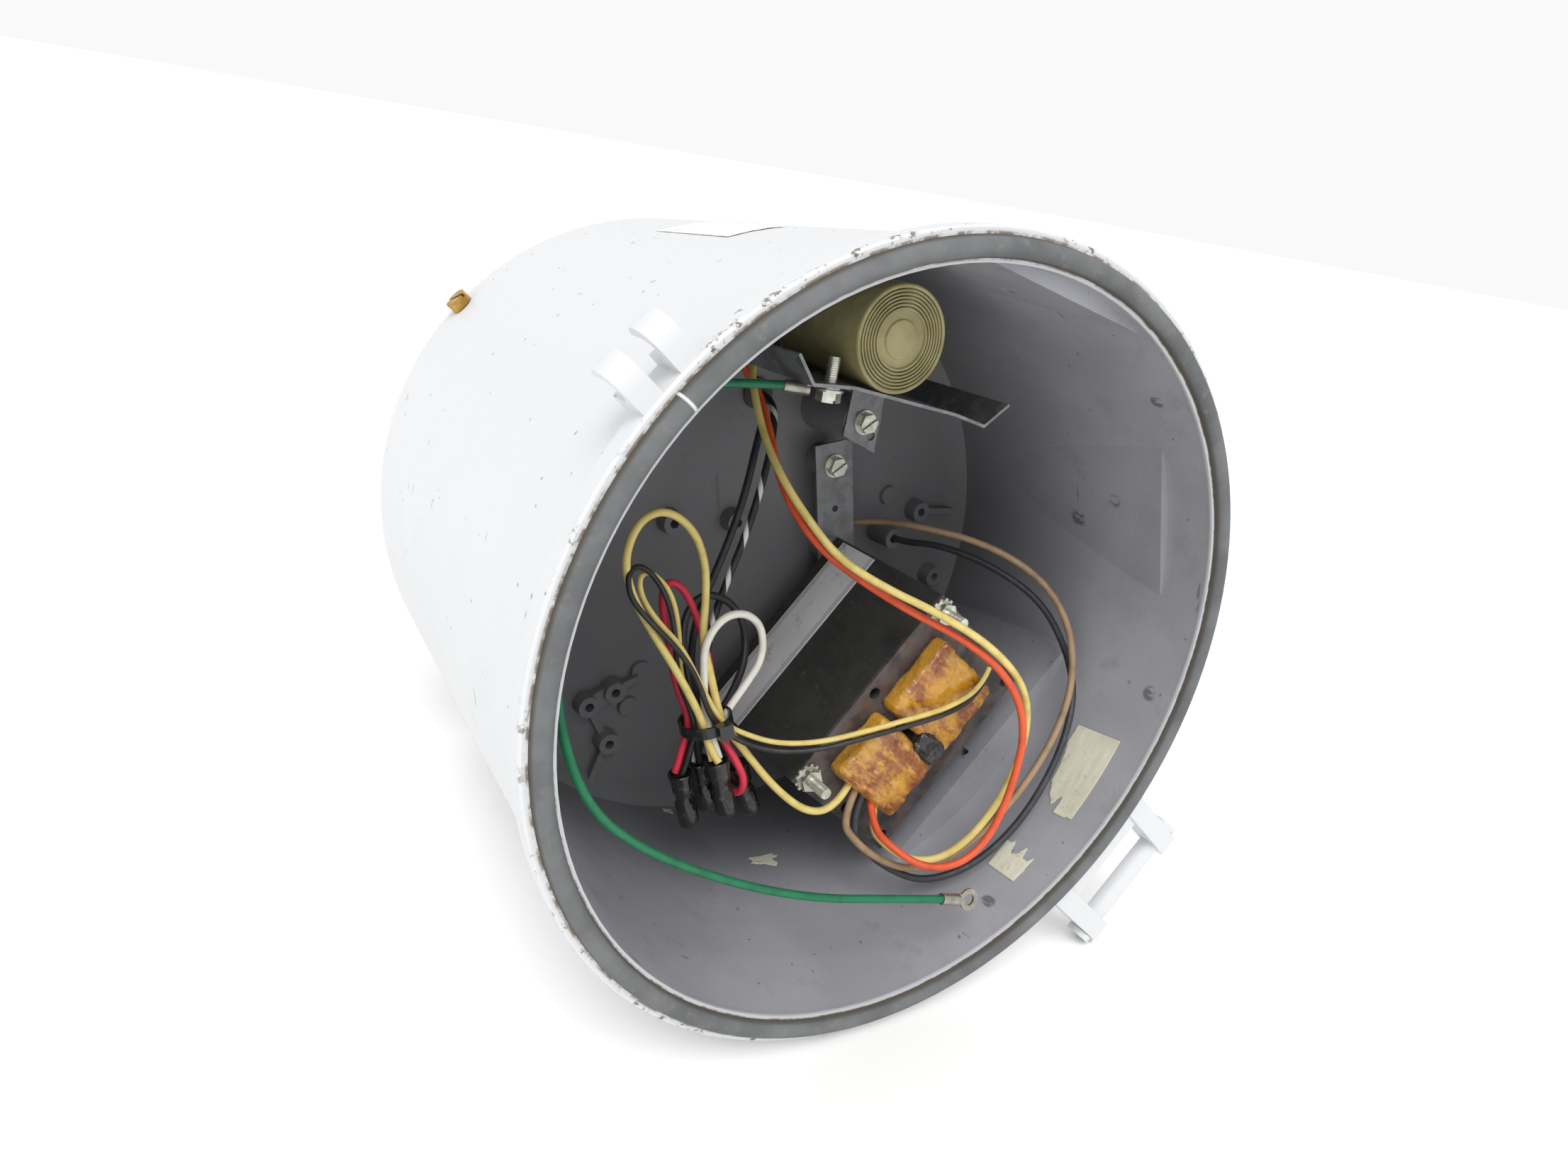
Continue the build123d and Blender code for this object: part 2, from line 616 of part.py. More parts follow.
def set_screw(angle):
    """A brass screw that locks the globe adapter, its head outside the skirt."""
    head_seat = BODY_REAR_R + 0.5
    shank = rod(SET_SCREW_R, polar(121, angle, SET_SCREW_Z), polar(head_seat + 1, angle, SET_SCREW_Z))
    head = rod(5.0, polar(head_seat, angle, SET_SCREW_Z), polar(head_seat + 4.5, angle, SET_SCREW_Z))
    middle = polar(head_seat + 4.5, angle, SET_SCREW_Z)
    slot = Plane(origin=middle, x_dir=(0, 0, 1), z_dir=polar(1, angle)) * Rot(0, 0, 35) * Box(14, 1.4, 3)
    return shank + head - slot


def floor_grommet():
    x, y = WIRE_HOLE
    body = upright(7, x, y, FLOOR_Z, FLOOR_Z + 1.8) + upright(5, x, y, FLOOR_Z - FLOOR_T, FLOOR_Z)
    body = body + upright(7, x, y, FLOOR_Z - FLOOR_T - 1.8, FLOOR_Z - FLOOR_T)
    return body - upright(3.9, x, y, FLOOR_Z - FLOOR_T - 3, FLOOR_Z + 3)


# ---------- leads ----------
def slot_at(row, column, along=0.0, pitch=3.4):
    """A lead's place in the bundle: hexagonal packing round the tie's centre."""
    x = (column + (row % 2) / 2) * pitch
    z = row * pitch * 0.866
    return (TIE_AT[0] + x + BUNDLE_DIR[0] * along, TIE_AT[1] + BUNDLE_DIR[1] * along,
            TIE_AT[2] + z + BUNDLE_DIR[2] * along)


def socket_at(number, place):
    """One of three lead places on the mouth of a wire connector."""
    x, y, z = CONNECTORS[number - 1][0]
    a = radians(90 + 120 * place)
    return (x + 1.95 * cos(a), y, z + 1.95 * sin(a))


def coil_exit(s, z=-53.7):
    """Where a lead leaves the lower end of the second winding."""
    x, y = core_point(COIL_U[1][1], s)
    return (x, y, z)


def routes():
    """Every lead: its diameter and the hand-set points of its route."""
    upper_barrel = tuple(barrel_mouth(ground_terminal_frame()))
    lower_barrel = tuple(barrel_mouth(free_terminal_frame()))
    return {
        "capacitor_lead_orange": (LEAD_D, [
            (9, 100, -137), (2, 96, -137), (2, 85, -135), (5, 75, -128), (0, 63, -111), (-6, 52, -97),
            (-7, 39, -85), (-3, 25, -71), (9, 12, -60), (24, -1, -49), (44, -15, -35), (59, -34, -25), (64, -57, -21), (55, -80, -18),
            (42, -99, -16), (27, -107, -17), (12, -105, -22), (4, -98, -32), (2, -94, -44), coil_exit(38)]),
        "capacitor_lead_cream": (LEAD_D, [
            (18, 94, -138), (11, 90, -137), (2, 84, -128), (-3, 74, -116), (-6, 62, -105), (-9, 51, -88), (-5, 36, -75),
            (0, 23, -62), (14, 11, -50), (31, 0, -39), (51, -17, -29), (67, -39, -26), (71, -63, -27), (60, -87, -26),
            (43, -102, -25), (26, -110, -27), (13, -109, -33), (7, -104, -42), (5, -99, -50), coil_exit(42)]),
        "tap_lead_brown": (LEAD_D, [
            (62, -2, -143), (70, 0, -134), (79, 1, -114), (98, -4, -92), (113, -16, -70), (117, -33, -53),
            (111, -54, -41), (98, -72, -34), (79, -91, -31), (57, -106, -30), (35, -117, -32), (17, -119, -37),
            (4, -111, -43), (-5, -100, -48), (-8, -91, -52), coil_exit(27)]),
        "tap_lead_grey": (LEAD_D, [
            (81, -13, -141), (82, -13, -130), (91, -11, -114), (104, -17, -92), (116, -30, -70), (117, -48, -53),
            (110, -62, -39), (98, -79, -31), (81, -98, -27), (61, -114, -26), (41, -124, -29), (22, -126, -35),
            (9, -118, -42), (0, -107, -49), (-3, -97, -53), coil_exit(32)]),
        "tap_lead_yellow": (LEAD_D, [
            coil_exit(22), (-11, -82, -51), (-25, -80, -51), (-36, -67, -59), (-43, -52, -69), slot_at(1, 1),
            (-50, -22, -79), (-50, -6, -85), (-45, 8, -89), (-42, 22, -93), (-45, 36, -95), (-56, 47, -94),
            (-69, 47, -90), (-78, 36, -86), (-78, 22, -84), (-72, 5, -82), (-65, -13, -77), slot_at(2, -1, -4),
            (-59, -43, -69), socket_at(1, 0)]),
        "starter_lead_black": (FINE_D, [
            (66, -44, -49), (58, -48.5, -44.5), (42, -51, -42.5), (22, -50, -43), (2, -49, -44.5),
            (-18, -51, -50), (-34, -50.5, -58), (-46, -45, -64.5), slot_at(2, 0, -2), (-58, -17, -74),
            (-64, -3, -77), (-73, 10, -79), (-80, 22, -80), (-78, 31, -84), (-70, 30, -88), (-62, 17, -89),
            (-60, 0, -87), (-64, -18, -81), slot_at(1, -2, -3), (-64, -45, -73), socket_at(2, 0)]),
        "starter_lead_yellow": (FINE_D, [
            (67.5, -41, -49), (59.5, -45.5, -44.5), (43, -48, -42.5), (23, -47, -43), (3, -46, -44.5),
            (-17, -48, -50.5), (-33, -47.5, -59), (-45, -41.5, -65.5), slot_at(2, 1, -2), (-57, -18, -77),
            (-61, -4, -81), (-69, 8, -83), (-73, 18, -86), (-72, 25, -89), (-66, 25, -92), (-58, 14, -92),
            (-57, -2, -90), (-61, -19, -85), slot_at(0, -1, -3), (-58.5, -43, -70), socket_at(1, 1)]),
        "red_lead": (LEAD_D, [
            (-53, -69, -74), (-48.5, -71, -67), (-46.5, -63, -63), (-48, -54, -66), (-51, -45.5, -72),
            slot_at(0, 1, -2), (-46, -22, -87), (-45, -5, -98), (-47, 8, -104), (-54, 13, -105), (-60, 7, -99),
            (-61, -7, -92), (-63, -22, -86), slot_at(-1, -2, -2), (-65, -44, -77), socket_at(2, 1)]),
        "white_jumper": (LEAD_D, [
            socket_at(1, 2), (-56, -44, -69), slot_at(0, 0, -2), (-53, -20, -80), (-51, -6, -81),
            (-42, 3, -81), (-30, 0, -84), (-22, -10, -86), (-24, -23, -84), (-35, -30, -80), slot_at(0, 2, 1),
            (-49, -50, -75), socket_at(3, 0)]),
        "black_jumper": (LEAD_D, [
            socket_at(2, 2), (-61, -46, -79), slot_at(-1, -1, -1), (-56, -20, -90), (-52, -5, -99),
            (-42, 4, -103), (-30, 0, -102), (-23, -12, -100), (-27, -26, -93), (-38, -34, -85),
            slot_at(-1, 1, 3), (-49, -52, -80), socket_at(3, 1)]),
        "lampholder_lead_black": (LEAD_D, [
            (15, 68, -151), (14, 69, -140), (8, 63, -130), (-1, 51, -123), (-9, 37, -118), (-18, 22, -115),
            (-28, 7, -113), (-39, -7, -110), (-50, -21, -99), slot_at(-2, 0, -1), (-58, -48, -82), socket_at(4, 0)]),
        "lampholder_lead_white": (LEAD_D, [
            (19, 67, -151), (18, 67, -139), (12, 59, -128), (4, 48, -120), (-5, 34, -115), (-14, 19, -112),
            (-24, 4, -110), (-34, -11, -107), (-44, -25, -97), slot_at(-2, 1, 0), (-53, -50, -84), socket_at(4, 1)]),
        "ground_lead": (LEAD_D, [
            upper_barrel, (-34, 96, -70.5), (-56, 98, -76), (-82, 88, -70), (-106, 66, -57), (-123, 38, -38),
            (-130, 12, -20), (-126, -13, -14), (-110, -37, -18), (-90, -58, -21), (-66, -77, -20),
            (-40, -92, -17), (-14, -101, -12), lower_barrel]),
    }


def lead_path(points):
    """Straight runs joined by tangent arcs, each arc as large as its two runs allow."""
    corners = [Vector(*p) for p in points]
    radii = []
    for before, here, after in zip(corners, corners[1:], corners[2:]):
        turn = radians((here - before).get_angle(after - here))
        shorter = min((here - before).length, (after - here).length)
        radii.append(0.45 * shorter / tan(turn / 2))
    return FilletPolyline(*corners, radius=radii), radii


def lead(name, diameter, points):
    path, radii = lead_path(points)
    start = Plane(origin=path @ 0, z_dir=path % 0)
    tube = sweep(start * Circle(diameter / 2), path=path)
    section = 3.141593 * diameter * diameter / 4
    print(f"{name}: length {path.length:.0f}, tightest radius {min(radii):.1f}, "
          f"volume {tube.volume / (section * path.length):.3f} of section times length")
    return tube


# ---------- assembly in the housing's frame ----------
def build():
    parts["housing_casting"] = housing_casting()
    parts["rim_gasket"] = rim_gasket()
    parts["latch_rod"] = latch_rod()
    parts["core_laminations"] = core_laminations()
    parts["core_end_plate"] = core_end_plate()
    for number, window in enumerate(COIL_U, 1):
        parts[f"coil_{number}"] = coil_pair(window)
    parts["coil_splice"] = coil_splice()
    parts["ballast_label"] = ballast_label()
    parts["ballast_bolts"] = ballast_bolts()
    parts["star_washer_nuts"] = star_washer_nuts()
    parts["capacitor_can"] = capacitor_can()
    parts["capacitor_lid"] = capacitor_lid()
    parts["capacitor_terminals"] = capacitor_terminals()
    parts["flag_terminals"] = flag_terminals()
    parts["capacitor_band"] = capacitor_band()
    parts["capacitor_bracket"] = capacitor_bracket()
    parts["bracket_screw"] = hex_screw(*POST_AT, POST_TOP + SHEET_T, 10)
    parts["ballast_strap"] = ballast_strap()
    parts["strap_screw"] = hex_screw(*STRAP_TOP_AT, CORE_BACK_Z, 8)
    parts["ground_screw"] = ground_screw()
    parts["ground_ring_terminal"] = ground_terminal_frame() * ring_terminal()
    parts["free_ring_terminal"] = free_terminal_frame() * ring_terminal()
    parts["cable_tie"] = cable_tie()
    for number, (start, end) in enumerate(CONNECTORS, 1):
        parts[f"wire_connector_{number}"] = wire_connector(start, end)
    parts["lampholder_body"] = lampholder_body()
    parts["lamp_screw_shell"] = lamp_screw_shell()
    parts["lamp_contact"] = lamp_contact()
    parts["lampholder_screws"] = lampholder_screws()
    parts["lampholder_terminals"] = lampholder_terminals()
    parts["floor_grommet"] = floor_grommet()
    for number, angle in enumerate(SET_SCREW_ANGLES, 1):
        parts[f"set_screw_{number}"] = set_screw(angle)
    for name, (diameter, points) in routes().items():
        parts[name] = lead(name, diameter, points)


# ---------- resting pose ----------
TILT = degrees(atan((RIM_R - BODY_REAR_R) / (DEPTH - SHOULDER_R - RIM_T)))
EAR_REACH = hypot(EAR_TIP_R, EAR_OUT)
EAR_TIP_ANGLE = LATCH_ANGLE - degrees(atan(EAR_OUT / EAR_TIP_R))
ROLL = -degrees(asin((RIM_R + (RIM_T + ROD_Z) * tan(radians(TILT))) / EAR_REACH)) - EAR_TIP_ANGLE


RIM_CENTRE_XY = (-9.25, -123.18)     # puts the middle of the whole set over the origin


def rest_placement():
    """Housing frame to table frame: roll onto the latch ear, lay down, tip the mouth up by the body's taper."""
    return Rot(90 - TILT, 0, 0) * Rot(0, 0, ROLL)


def export_all():
    os.makedirs("parts", exist_ok=True)
    turn = rest_placement()
    placed = {name: [turn * s for s in (shape if isinstance(shape, list) else [shape])] for name, shape in parts.items()}
    shift = Pos(*RIM_CENTRE_XY, RIM_R * cos(radians(TILT)) + RIM_T * sin(radians(TILT)))
    print("roll", round(ROLL, 4), "tilt", round(TILT, 4), "rim centre at", shift.position)
    for name, solids in placed.items():
        moved = [shift * s for s in solids]
        shape = moved[0] if len(moved) == 1 else Compound(children=moved)
        export_step(shape, f"parts/{name}.step")


build()
export_all()
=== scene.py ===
import bmesh
import bpy
import json
from math import atan2, cos, hypot, pi, radians, sin
from mathutils import Matrix, Vector, noise


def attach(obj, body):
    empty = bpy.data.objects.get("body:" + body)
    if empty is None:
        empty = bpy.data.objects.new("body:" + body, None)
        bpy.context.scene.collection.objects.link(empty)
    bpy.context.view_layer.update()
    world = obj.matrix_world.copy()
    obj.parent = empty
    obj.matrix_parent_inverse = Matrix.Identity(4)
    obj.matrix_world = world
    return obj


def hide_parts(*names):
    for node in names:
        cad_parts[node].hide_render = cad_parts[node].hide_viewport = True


# A luminaire's cast ballast housing, lying on its side with its mouth open, and the electrical gear inside.
# Everything is laid out in the housing's own frame, in millimetres: its axis is Z, the rim face is Z = 0 and
# the mouth looks along +Z. at() turns such a point into metres in the frame that the CAD model lies in.

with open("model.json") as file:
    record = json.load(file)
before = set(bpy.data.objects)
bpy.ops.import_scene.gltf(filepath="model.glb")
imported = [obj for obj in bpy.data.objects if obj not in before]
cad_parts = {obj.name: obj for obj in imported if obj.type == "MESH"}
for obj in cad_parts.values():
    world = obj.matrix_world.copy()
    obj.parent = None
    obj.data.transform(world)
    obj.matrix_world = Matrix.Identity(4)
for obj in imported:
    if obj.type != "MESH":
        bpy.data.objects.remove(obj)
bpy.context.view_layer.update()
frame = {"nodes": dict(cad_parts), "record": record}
nodes = frame["nodes"]

ROLL = 11.4926
TILT = 3.4533
RIM_CENTRE = (-9.25, -123.18, 150.21)
BODY = "housing"
WALL_R = 139.0         # inner wall: its radius at the rim and how much it gains per millimetre of height
WALL_SLOPE = 0.045

placement = (Matrix.Diagonal((0.001, 0.001, 0.001, 1)) @ Matrix.Translation(RIM_CENTRE)
             @ Matrix.Rotation(radians(90 - TILT), 4, "X") @ Matrix.Rotation(radians(ROLL), 4, "Z"))


def at(x, y, z):
    return placement @ Vector((x, y, z))


def polar(radius, angle, z=0.0):
    return Vector((radius * cos(radians(angle)), radius * sin(radians(angle)), z))


# ---------- camera ----------
EYE = (-207.04, 186.90, 252.71)
LOOK = Vector((0.45376, -0.42198, -0.78488))
UP = Vector((0.24978, 0.90570, -0.34253))
LENS = 24.41
SENSOR = 36.0


def camera():
    data = bpy.data.cameras.new("camera")
    data.lens = LENS
    data.sensor_width = SENSOR
    data.clip_start = 0.01
    made = bpy.data.objects.new("camera", data)
    bpy.context.scene.collection.objects.link(made)
    turn = placement.to_3x3().normalized()
    right = LOOK.cross(UP)
    axes = Matrix([turn @ right, turn @ UP, turn @ -LOOK]).transposed()
    made.matrix_world = Matrix.Translation(at(*EYE)) @ axes.to_4x4()
    bpy.context.scene.camera = made


camera()

# ---------- leads ----------
LEAD_D = 3.2
FINE_D = 2.2
TIE_AT = (-56.0, -37.0, -75.0)
BUNDLE_DIR = (0.05, -0.99, 0.1)
CONNECTORS = (((-57, -50, -66), (-56, -74, -62)), ((-69, -56, -75), (-68, -81, -73)),
              ((-45, -60, -73), (-41, -84, -70)), ((-57, -60, -84), (-55, -84, -83)))
CONNECTOR_R = 5.0
CORE_CORNER = (49.0, -4.6)
CORE_ANGLE = -140.8
CORE_L = 99.0
CORE_FRONT_Z = -58.5
CORE_BACK_Z = -137.5
COIL_S = (11.5, 53.0)
COIL_U = ((14.0, 49.0), (54.5, 84.0))
COIL_PROUD = 9.5
UPPER_BARREL = (-20.2, 94.2, -63.6)
LOWER_BARREL = (8.5, -107.2, -5.2)
BUNDLE_PITCH = 3.4
HEX_ROW = 0.866
SOCKET_R = 1.95
COIL_EXIT_Z = -53.7


def core_point(u, s):
    """A place on the ballast: u along the core's long side, s across it."""
    a = radians(CORE_ANGLE)
    return CORE_CORNER[0] + u * cos(a) - s * sin(a), CORE_CORNER[1] + u * sin(a) + s * cos(a)


def slot_at(row, column, along=0.0):
    """A lead's place in the bundle: hexagonal packing round the tie's centre."""
    x = (column + (row % 2) / 2) * BUNDLE_PITCH
    z = row * BUNDLE_PITCH * HEX_ROW
    return (TIE_AT[0] + x + BUNDLE_DIR[0] * along, TIE_AT[1] + BUNDLE_DIR[1] * along,
            TIE_AT[2] + z + BUNDLE_DIR[2] * along)


def socket_at(number, place):
    """One of three lead places on the mouth of a wire connector."""
    x, y, z = CONNECTORS[number - 1][0]
    a = radians(90 + 120 * place)
    return x + SOCKET_R * cos(a), y, z + SOCKET_R * sin(a)


def coil_exit(s):
    return (*core_point(COIL_U[1][1], s), COIL_EXIT_Z)


# name: (diameter, real length, kind of far end, points of the route)
LEADS = {
    "capacitor_lead_orange": (LEAD_D, 348, "object", [
        (9, 100, -137), (2, 96, -137), (2, 85, -135), (5, 75, -128), (0, 63, -111), (-6, 52, -97),
        (-7, 39, -85), (-3, 25, -71), (9, 12, -60), (24, -1, -49), (44, -15, -35), (59, -34, -25),
        (64, -57, -21), (55, -80, -18), (42, -99, -16), (27, -107, -17), (12, -105, -22), (4, -98, -32),
        (2, -94, -44), coil_exit(38)]),
    "capacitor_lead_cream": (LEAD_D, 350, "object", [
        (18, 94, -138), (11, 90, -137), (2, 84, -128), (-3, 74, -116), (-6, 62, -105), (-9, 51, -88),
        (-5, 36, -75), (0, 23, -62), (14, 11, -50), (31, 0, -39), (51, -17, -29), (67, -39, -26),
        (71, -63, -27), (60, -87, -26), (43, -102, -25), (26, -110, -27), (13, -109, -33), (7, -104, -42),
        (5, -99, -50), coil_exit(42)]),
    "tap_lead_brown": (LEAD_D, 316, "object", [
        (62, -2, -143), (70, 0, -134), (79, 1, -114), (98, -4, -92), (113, -16, -70), (117, -33, -53),
        (111, -54, -41), (98, -72, -34), (79, -91, -31), (57, -106, -30), (35, -117, -32), (17, -119, -37),
        (4, -111, -43), (-5, -100, -48), (-8, -91, -52), coil_exit(27)]),
    "tap_lead_grey": (LEAD_D, 303, "object", [
        (81, -13, -141), (82, -13, -130), (91, -11, -114), (104, -17, -92), (116, -30, -70), (117, -48, -53),
        (110, -62, -39), (98, -79, -31), (81, -98, -27), (61, -114, -26), (41, -124, -29), (22, -126, -35),
        (9, -118, -42), (0, -107, -49), (-3, -97, -53), coil_exit(32)]),
    "tap_lead_yellow": (LEAD_D, 291, "connector", [
        coil_exit(22), (-11, -82, -51), (-25, -80, -51), (-36, -67, -59), (-43, -52, -69), slot_at(1, 1),
        (-50, -22, -79), (-50, -6, -85), (-45, 8, -89), (-42, 22, -93), (-45, 36, -95), (-56, 47, -94),
        (-69, 47, -90), (-78, 36, -86), (-78, 22, -84), (-72, 5, -82), (-65, -13, -77), slot_at(2, -1, -4),
        (-59, -43, -69), socket_at(1, 0)]),
    "starter_lead_black": (FINE_D, 307, "connector", [
        (66, -44, -49), (58, -48.5, -44.5), (42, -51, -42.5), (22, -50, -43), (2, -49, -44.5),
        (-18, -51, -50), (-34, -50.5, -58), (-46, -45, -64.5), slot_at(2, 0, -2), (-58, -17, -74),
        (-64, -3, -77), (-73, 10, -79), (-80, 22, -80), (-78, 31, -84), (-70, 30, -88), (-62, 17, -89),
        (-60, 0, -87), (-64, -18, -81), slot_at(1, -2, -3), (-64, -45, -73), socket_at(2, 0)]),
    "starter_lead_yellow": (FINE_D, 287, "connector", [
        (67.5, -41, -49), (59.5, -45.5, -44.5), (43, -48, -42.5), (23, -47, -43), (3, -46, -44.5),
        (-17, -48, -50.5), (-33, -47.5, -59), (-45, -41.5, -65.5), slot_at(2, 1, -2), (-57, -18, -77),
        (-61, -4, -81), (-69, 8, -83), (-73, 18, -86), (-72, 25, -89), (-66, 25, -92), (-58, 14, -92),
        (-57, -2, -90), (-61, -19, -85), slot_at(0, -1, -3), (-58.5, -43, -70), socket_at(1, 1)]),
    "red_lead": (LEAD_D, 187, "connector", [
        (-53, -69, -74), (-48.5, -71, -67), (-46.5, -63, -63), (-48, -54, -66), (-51, -45.5, -72),
        slot_at(0, 1, -2), (-46, -22, -87), (-45, -5, -98), (-47, 8, -104), (-54, 13, -105), (-60, 7, -99),
        (-61, -7, -92), (-63, -22, -86), slot_at(-1, -2, -2), (-65, -44, -77), socket_at(2, 1)]),
    "white_jumper": (LEAD_D, 149, "connector", [
        socket_at(1, 2), (-56, -44, -69), slot_at(0, 0, -2), (-53, -20, -80), (-51, -6, -81),
        (-42, 3, -81), (-30, 0, -84), (-22, -10, -86), (-24, -23, -84), (-35, -30, -80), slot_at(0, 2, 1),
        (-49, -50, -75), socket_at(3, 0)]),
    "black_jumper": (LEAD_D, 166, "connector", [
        socket_at(2, 2), (-61, -46, -79), slot_at(-1, -1, -1), (-56, -20, -90), (-52, -5, -99),
        (-42, 4, -103), (-30, 0, -102), (-23, -12, -100), (-27, -26, -93), (-38, -34, -85),
        slot_at(-1, 1, 3), (-49, -52, -80), socket_at(3, 1)]),
    "lampholder_lead_black": (LEAD_D, 179, "connector", [
        (15, 68, -151), (14, 69, -140), (8, 63, -130), (-1, 51, -123), (-9, 37, -118), (-18, 22, -115),
        (-28, 7, -113), (-39, -7, -110), (-50, -21, -99), slot_at(-2, 0, -1), (-58, -48, -82),
        socket_at(4, 0)]),
    "lampholder_lead_white": (LEAD_D, 178, "connector", [
        (19, 67, -151), (18, 67, -139), (12, 59, -128), (4, 48, -120), (-5, 34, -115), (-14, 19, -112),
        (-24, 4, -110), (-34, -11, -107), (-44, -25, -97), slot_at(-2, 1, 0), (-53, -50, -84),
        socket_at(4, 1)]),
    "ground_lead": (LEAD_D, 366, "connector", [
        UPPER_BARREL, (-34, 96, -70.5), (-56, 98, -76), (-82, 88, -70), (-106, 66, -57), (-123, 38, -38),
        (-130, 12, -20), (-126, -13, -14), (-110, -37, -18), (-90, -58, -21), (-66, -77, -20),
        (-40, -92, -17), (-14, -101, -12), LOWER_BARREL]),
}


def lead(name, diameter, points):
    """A smooth NURBS cord through the given route, standing for the CAD tube of the same name.

    The points' radius carries the thickness, so that the cord's own bounding box stays tight."""
    data = bpy.data.curves.new(name + "_insulation", "CURVE")
    data.dimensions = "3D"
    data.bevel_depth = 1.0
    data.bevel_resolution = 4
    data.use_fill_caps = True
    data.resolution_u = 8
    spline = data.splines.new("NURBS")
    spline.points.add(len(points) - 1)
    for control, place in zip(spline.points, points):
        control.co = (*at(*place), 1)
        control.radius = diameter / 2000
    spline.order_u = 3
    spline.use_endpoint_u = True
    made = bpy.data.objects.new(name + "_insulation", data)
    bpy.context.scene.collection.objects.link(made)
    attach(made, BODY)
    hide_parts(name)
    return made


leads = {name: lead(name, diameter, points) for name, (diameter, _, _, points) in LEADS.items()}


# ---------- materials ----------
def colour(hex_code):
    """An sRGB hex value as linear red, green, blue and alpha."""
    parts = [int(hex_code[i:i + 2], 16) / 255 for i in (1, 3, 5)]
    return [c / 12.92 if c <= 0.04045 else ((c + 0.055) / 1.055) ** 2.4 for c in parts] + [1.0]


def add(tree, kind, links=None, **settings):
    """Adds a node with its settings; links maps an input to a value or to another node's output."""
    made = tree.nodes.new(kind)
    for key, value in settings.items():
        setattr(made, key, value)
    for socket, value in (links or {}).items():
        if isinstance(value, bpy.types.NodeSocket):
            tree.links.new(value, made.inputs[socket])
        else:
            made.inputs[socket].default_value = value
    return made


def new_material(name, **shader_values):
    """An empty material: its tree and its Principled shader, with the shader's plain values set."""
    made = bpy.data.materials.new(name)
    made.use_nodes = True
    tree = made.node_tree
    tree.nodes.clear()
    shader = add(tree, "ShaderNodeBsdfPrincipled")
    add(tree, "ShaderNodeOutputMaterial", {"Surface": shader.outputs[0]})
    for socket, value in shader_values.items():
        shader.inputs[socket.replace("_", " ")].default_value = value
    return made, tree, shader


def millimetres(tree):
    """Object coordinates turned into the housing's frame, in millimetres."""
    shift, turn, size = placement.inverted().decompose()
    source = add(tree, "ShaderNodeTexCoord")
    mapping = add(tree, "ShaderNodeMapping", {"Vector": source.outputs["Object"]})
    mapping.inputs["Location"].default_value = shift
    mapping.inputs["Rotation"].default_value = turn.to_euler("XYZ")
    mapping.inputs["Scale"].default_value = size
    return mapping.outputs[0]


def mottle(tree, place, size, detail=4.0, rough=0.55, stretch=(1, 1, 1)):
    """Noise whose blotches are size millimetres across, or longer along a stretched axis."""
    stretched = add(tree, "ShaderNodeVectorMath", {0: place, 1: stretch}, operation="MULTIPLY")
    made = add(tree, "ShaderNodeTexNoise", {"Vector": stretched.outputs[0], "Scale": 1 / size,
                                            "Detail": detail, "Roughness": rough})
    return made.outputs["Fac"]


def span(tree, value, low, high):
    """0 below low, 1 above high, smooth between."""
    made = add(tree, "ShaderNodeMapRange", {"Value": value, "From Min": low, "From Max": high},
               interpolation_type="SMOOTHSTEP")
    return made.outputs[0]


def scaled(tree, value, low, high, start=0.3, stop=0.7):
    """Carries a value from start...stop to low...high in a straight line."""
    made = add(tree, "ShaderNodeMapRange", {"Value": value, "From Min": start, "From Max": stop,
                                            "To Min": low, "To Max": high})
    return made.outputs[0]


def math(tree, operation, a, b=0.0, c=0.0):
    return add(tree, "ShaderNodeMath", {0: a, 1: b, 2: c}, operation=operation).outputs[0]


def times(tree, product, *others):
    for other in others:
        product = math(tree, "MULTIPLY", product, other)
    return product


def distance(tree, value, target):
    """How far a value is from the target, either way."""
    return math(tree, "ABSOLUTE", math(tree, "SUBTRACT", value, target))


def axis_distance(tree, place):
    """Distance from the housing's axis."""
    flat = add(tree, "ShaderNodeVectorMath", {0: place, 1: (1, 1, 0)}, operation="MULTIPLY")
    return add(tree, "ShaderNodeVectorMath", {0: flat.outputs[0]}, operation="LENGTH").outputs["Value"]


def height_of(tree, place):
    return add(tree, "ShaderNodeSeparateXYZ", {0: place}).outputs["Z"]


def along(tree, place, direction):
    """How far a place lies along a direction through the housing's axis."""
    made = add(tree, "ShaderNodeVectorMath", {0: place, 1: tuple(direction)}, operation="DOT_PRODUCT")
    return made.outputs["Value"]


def tint(tree, factor, a, b):
    """Mixes colour a towards b. Either is a hex value or a socket."""
    a = colour(a) if isinstance(a, str) else a
    b = colour(b) if isinstance(b, str) else b
    return add(tree, "ShaderNodeMix", {0: factor, 6: a, 7: b}, data_type="RGBA").outputs[2]


def finish_shader(tree, shader, base, rough, height=None, depth=0.1):
    """Joins colour, roughness and a bump of the given depth in millimetres to the shader."""
    tree.links.new(base, shader.inputs["Base Color"])
    tree.links.new(rough, shader.inputs["Roughness"])
    if height is not None:
        bump = add(tree, "ShaderNodeBump", {"Height": height, "Strength": 1.0, "Distance": depth / 1000})
        tree.links.new(bump.outputs[0], shader.inputs["Normal"])


# knocks on the inner wall: place and size
SCUFFS = ((136, 7, -68, 5.5), (135, 22, -46, 5.0), (117, 74, -17, 3.5), (127, -56, -12, 4.0),
          (42, -132, -15, 4.0), (23, -137, -8, 3.0))
SPECK_PITCH = 11
GROOVE_R = (140.3, 147.5)
GASKET_MID_R = 143.8
BUTT_ANGLE = 128.0     # where the two ends of the gasket meet


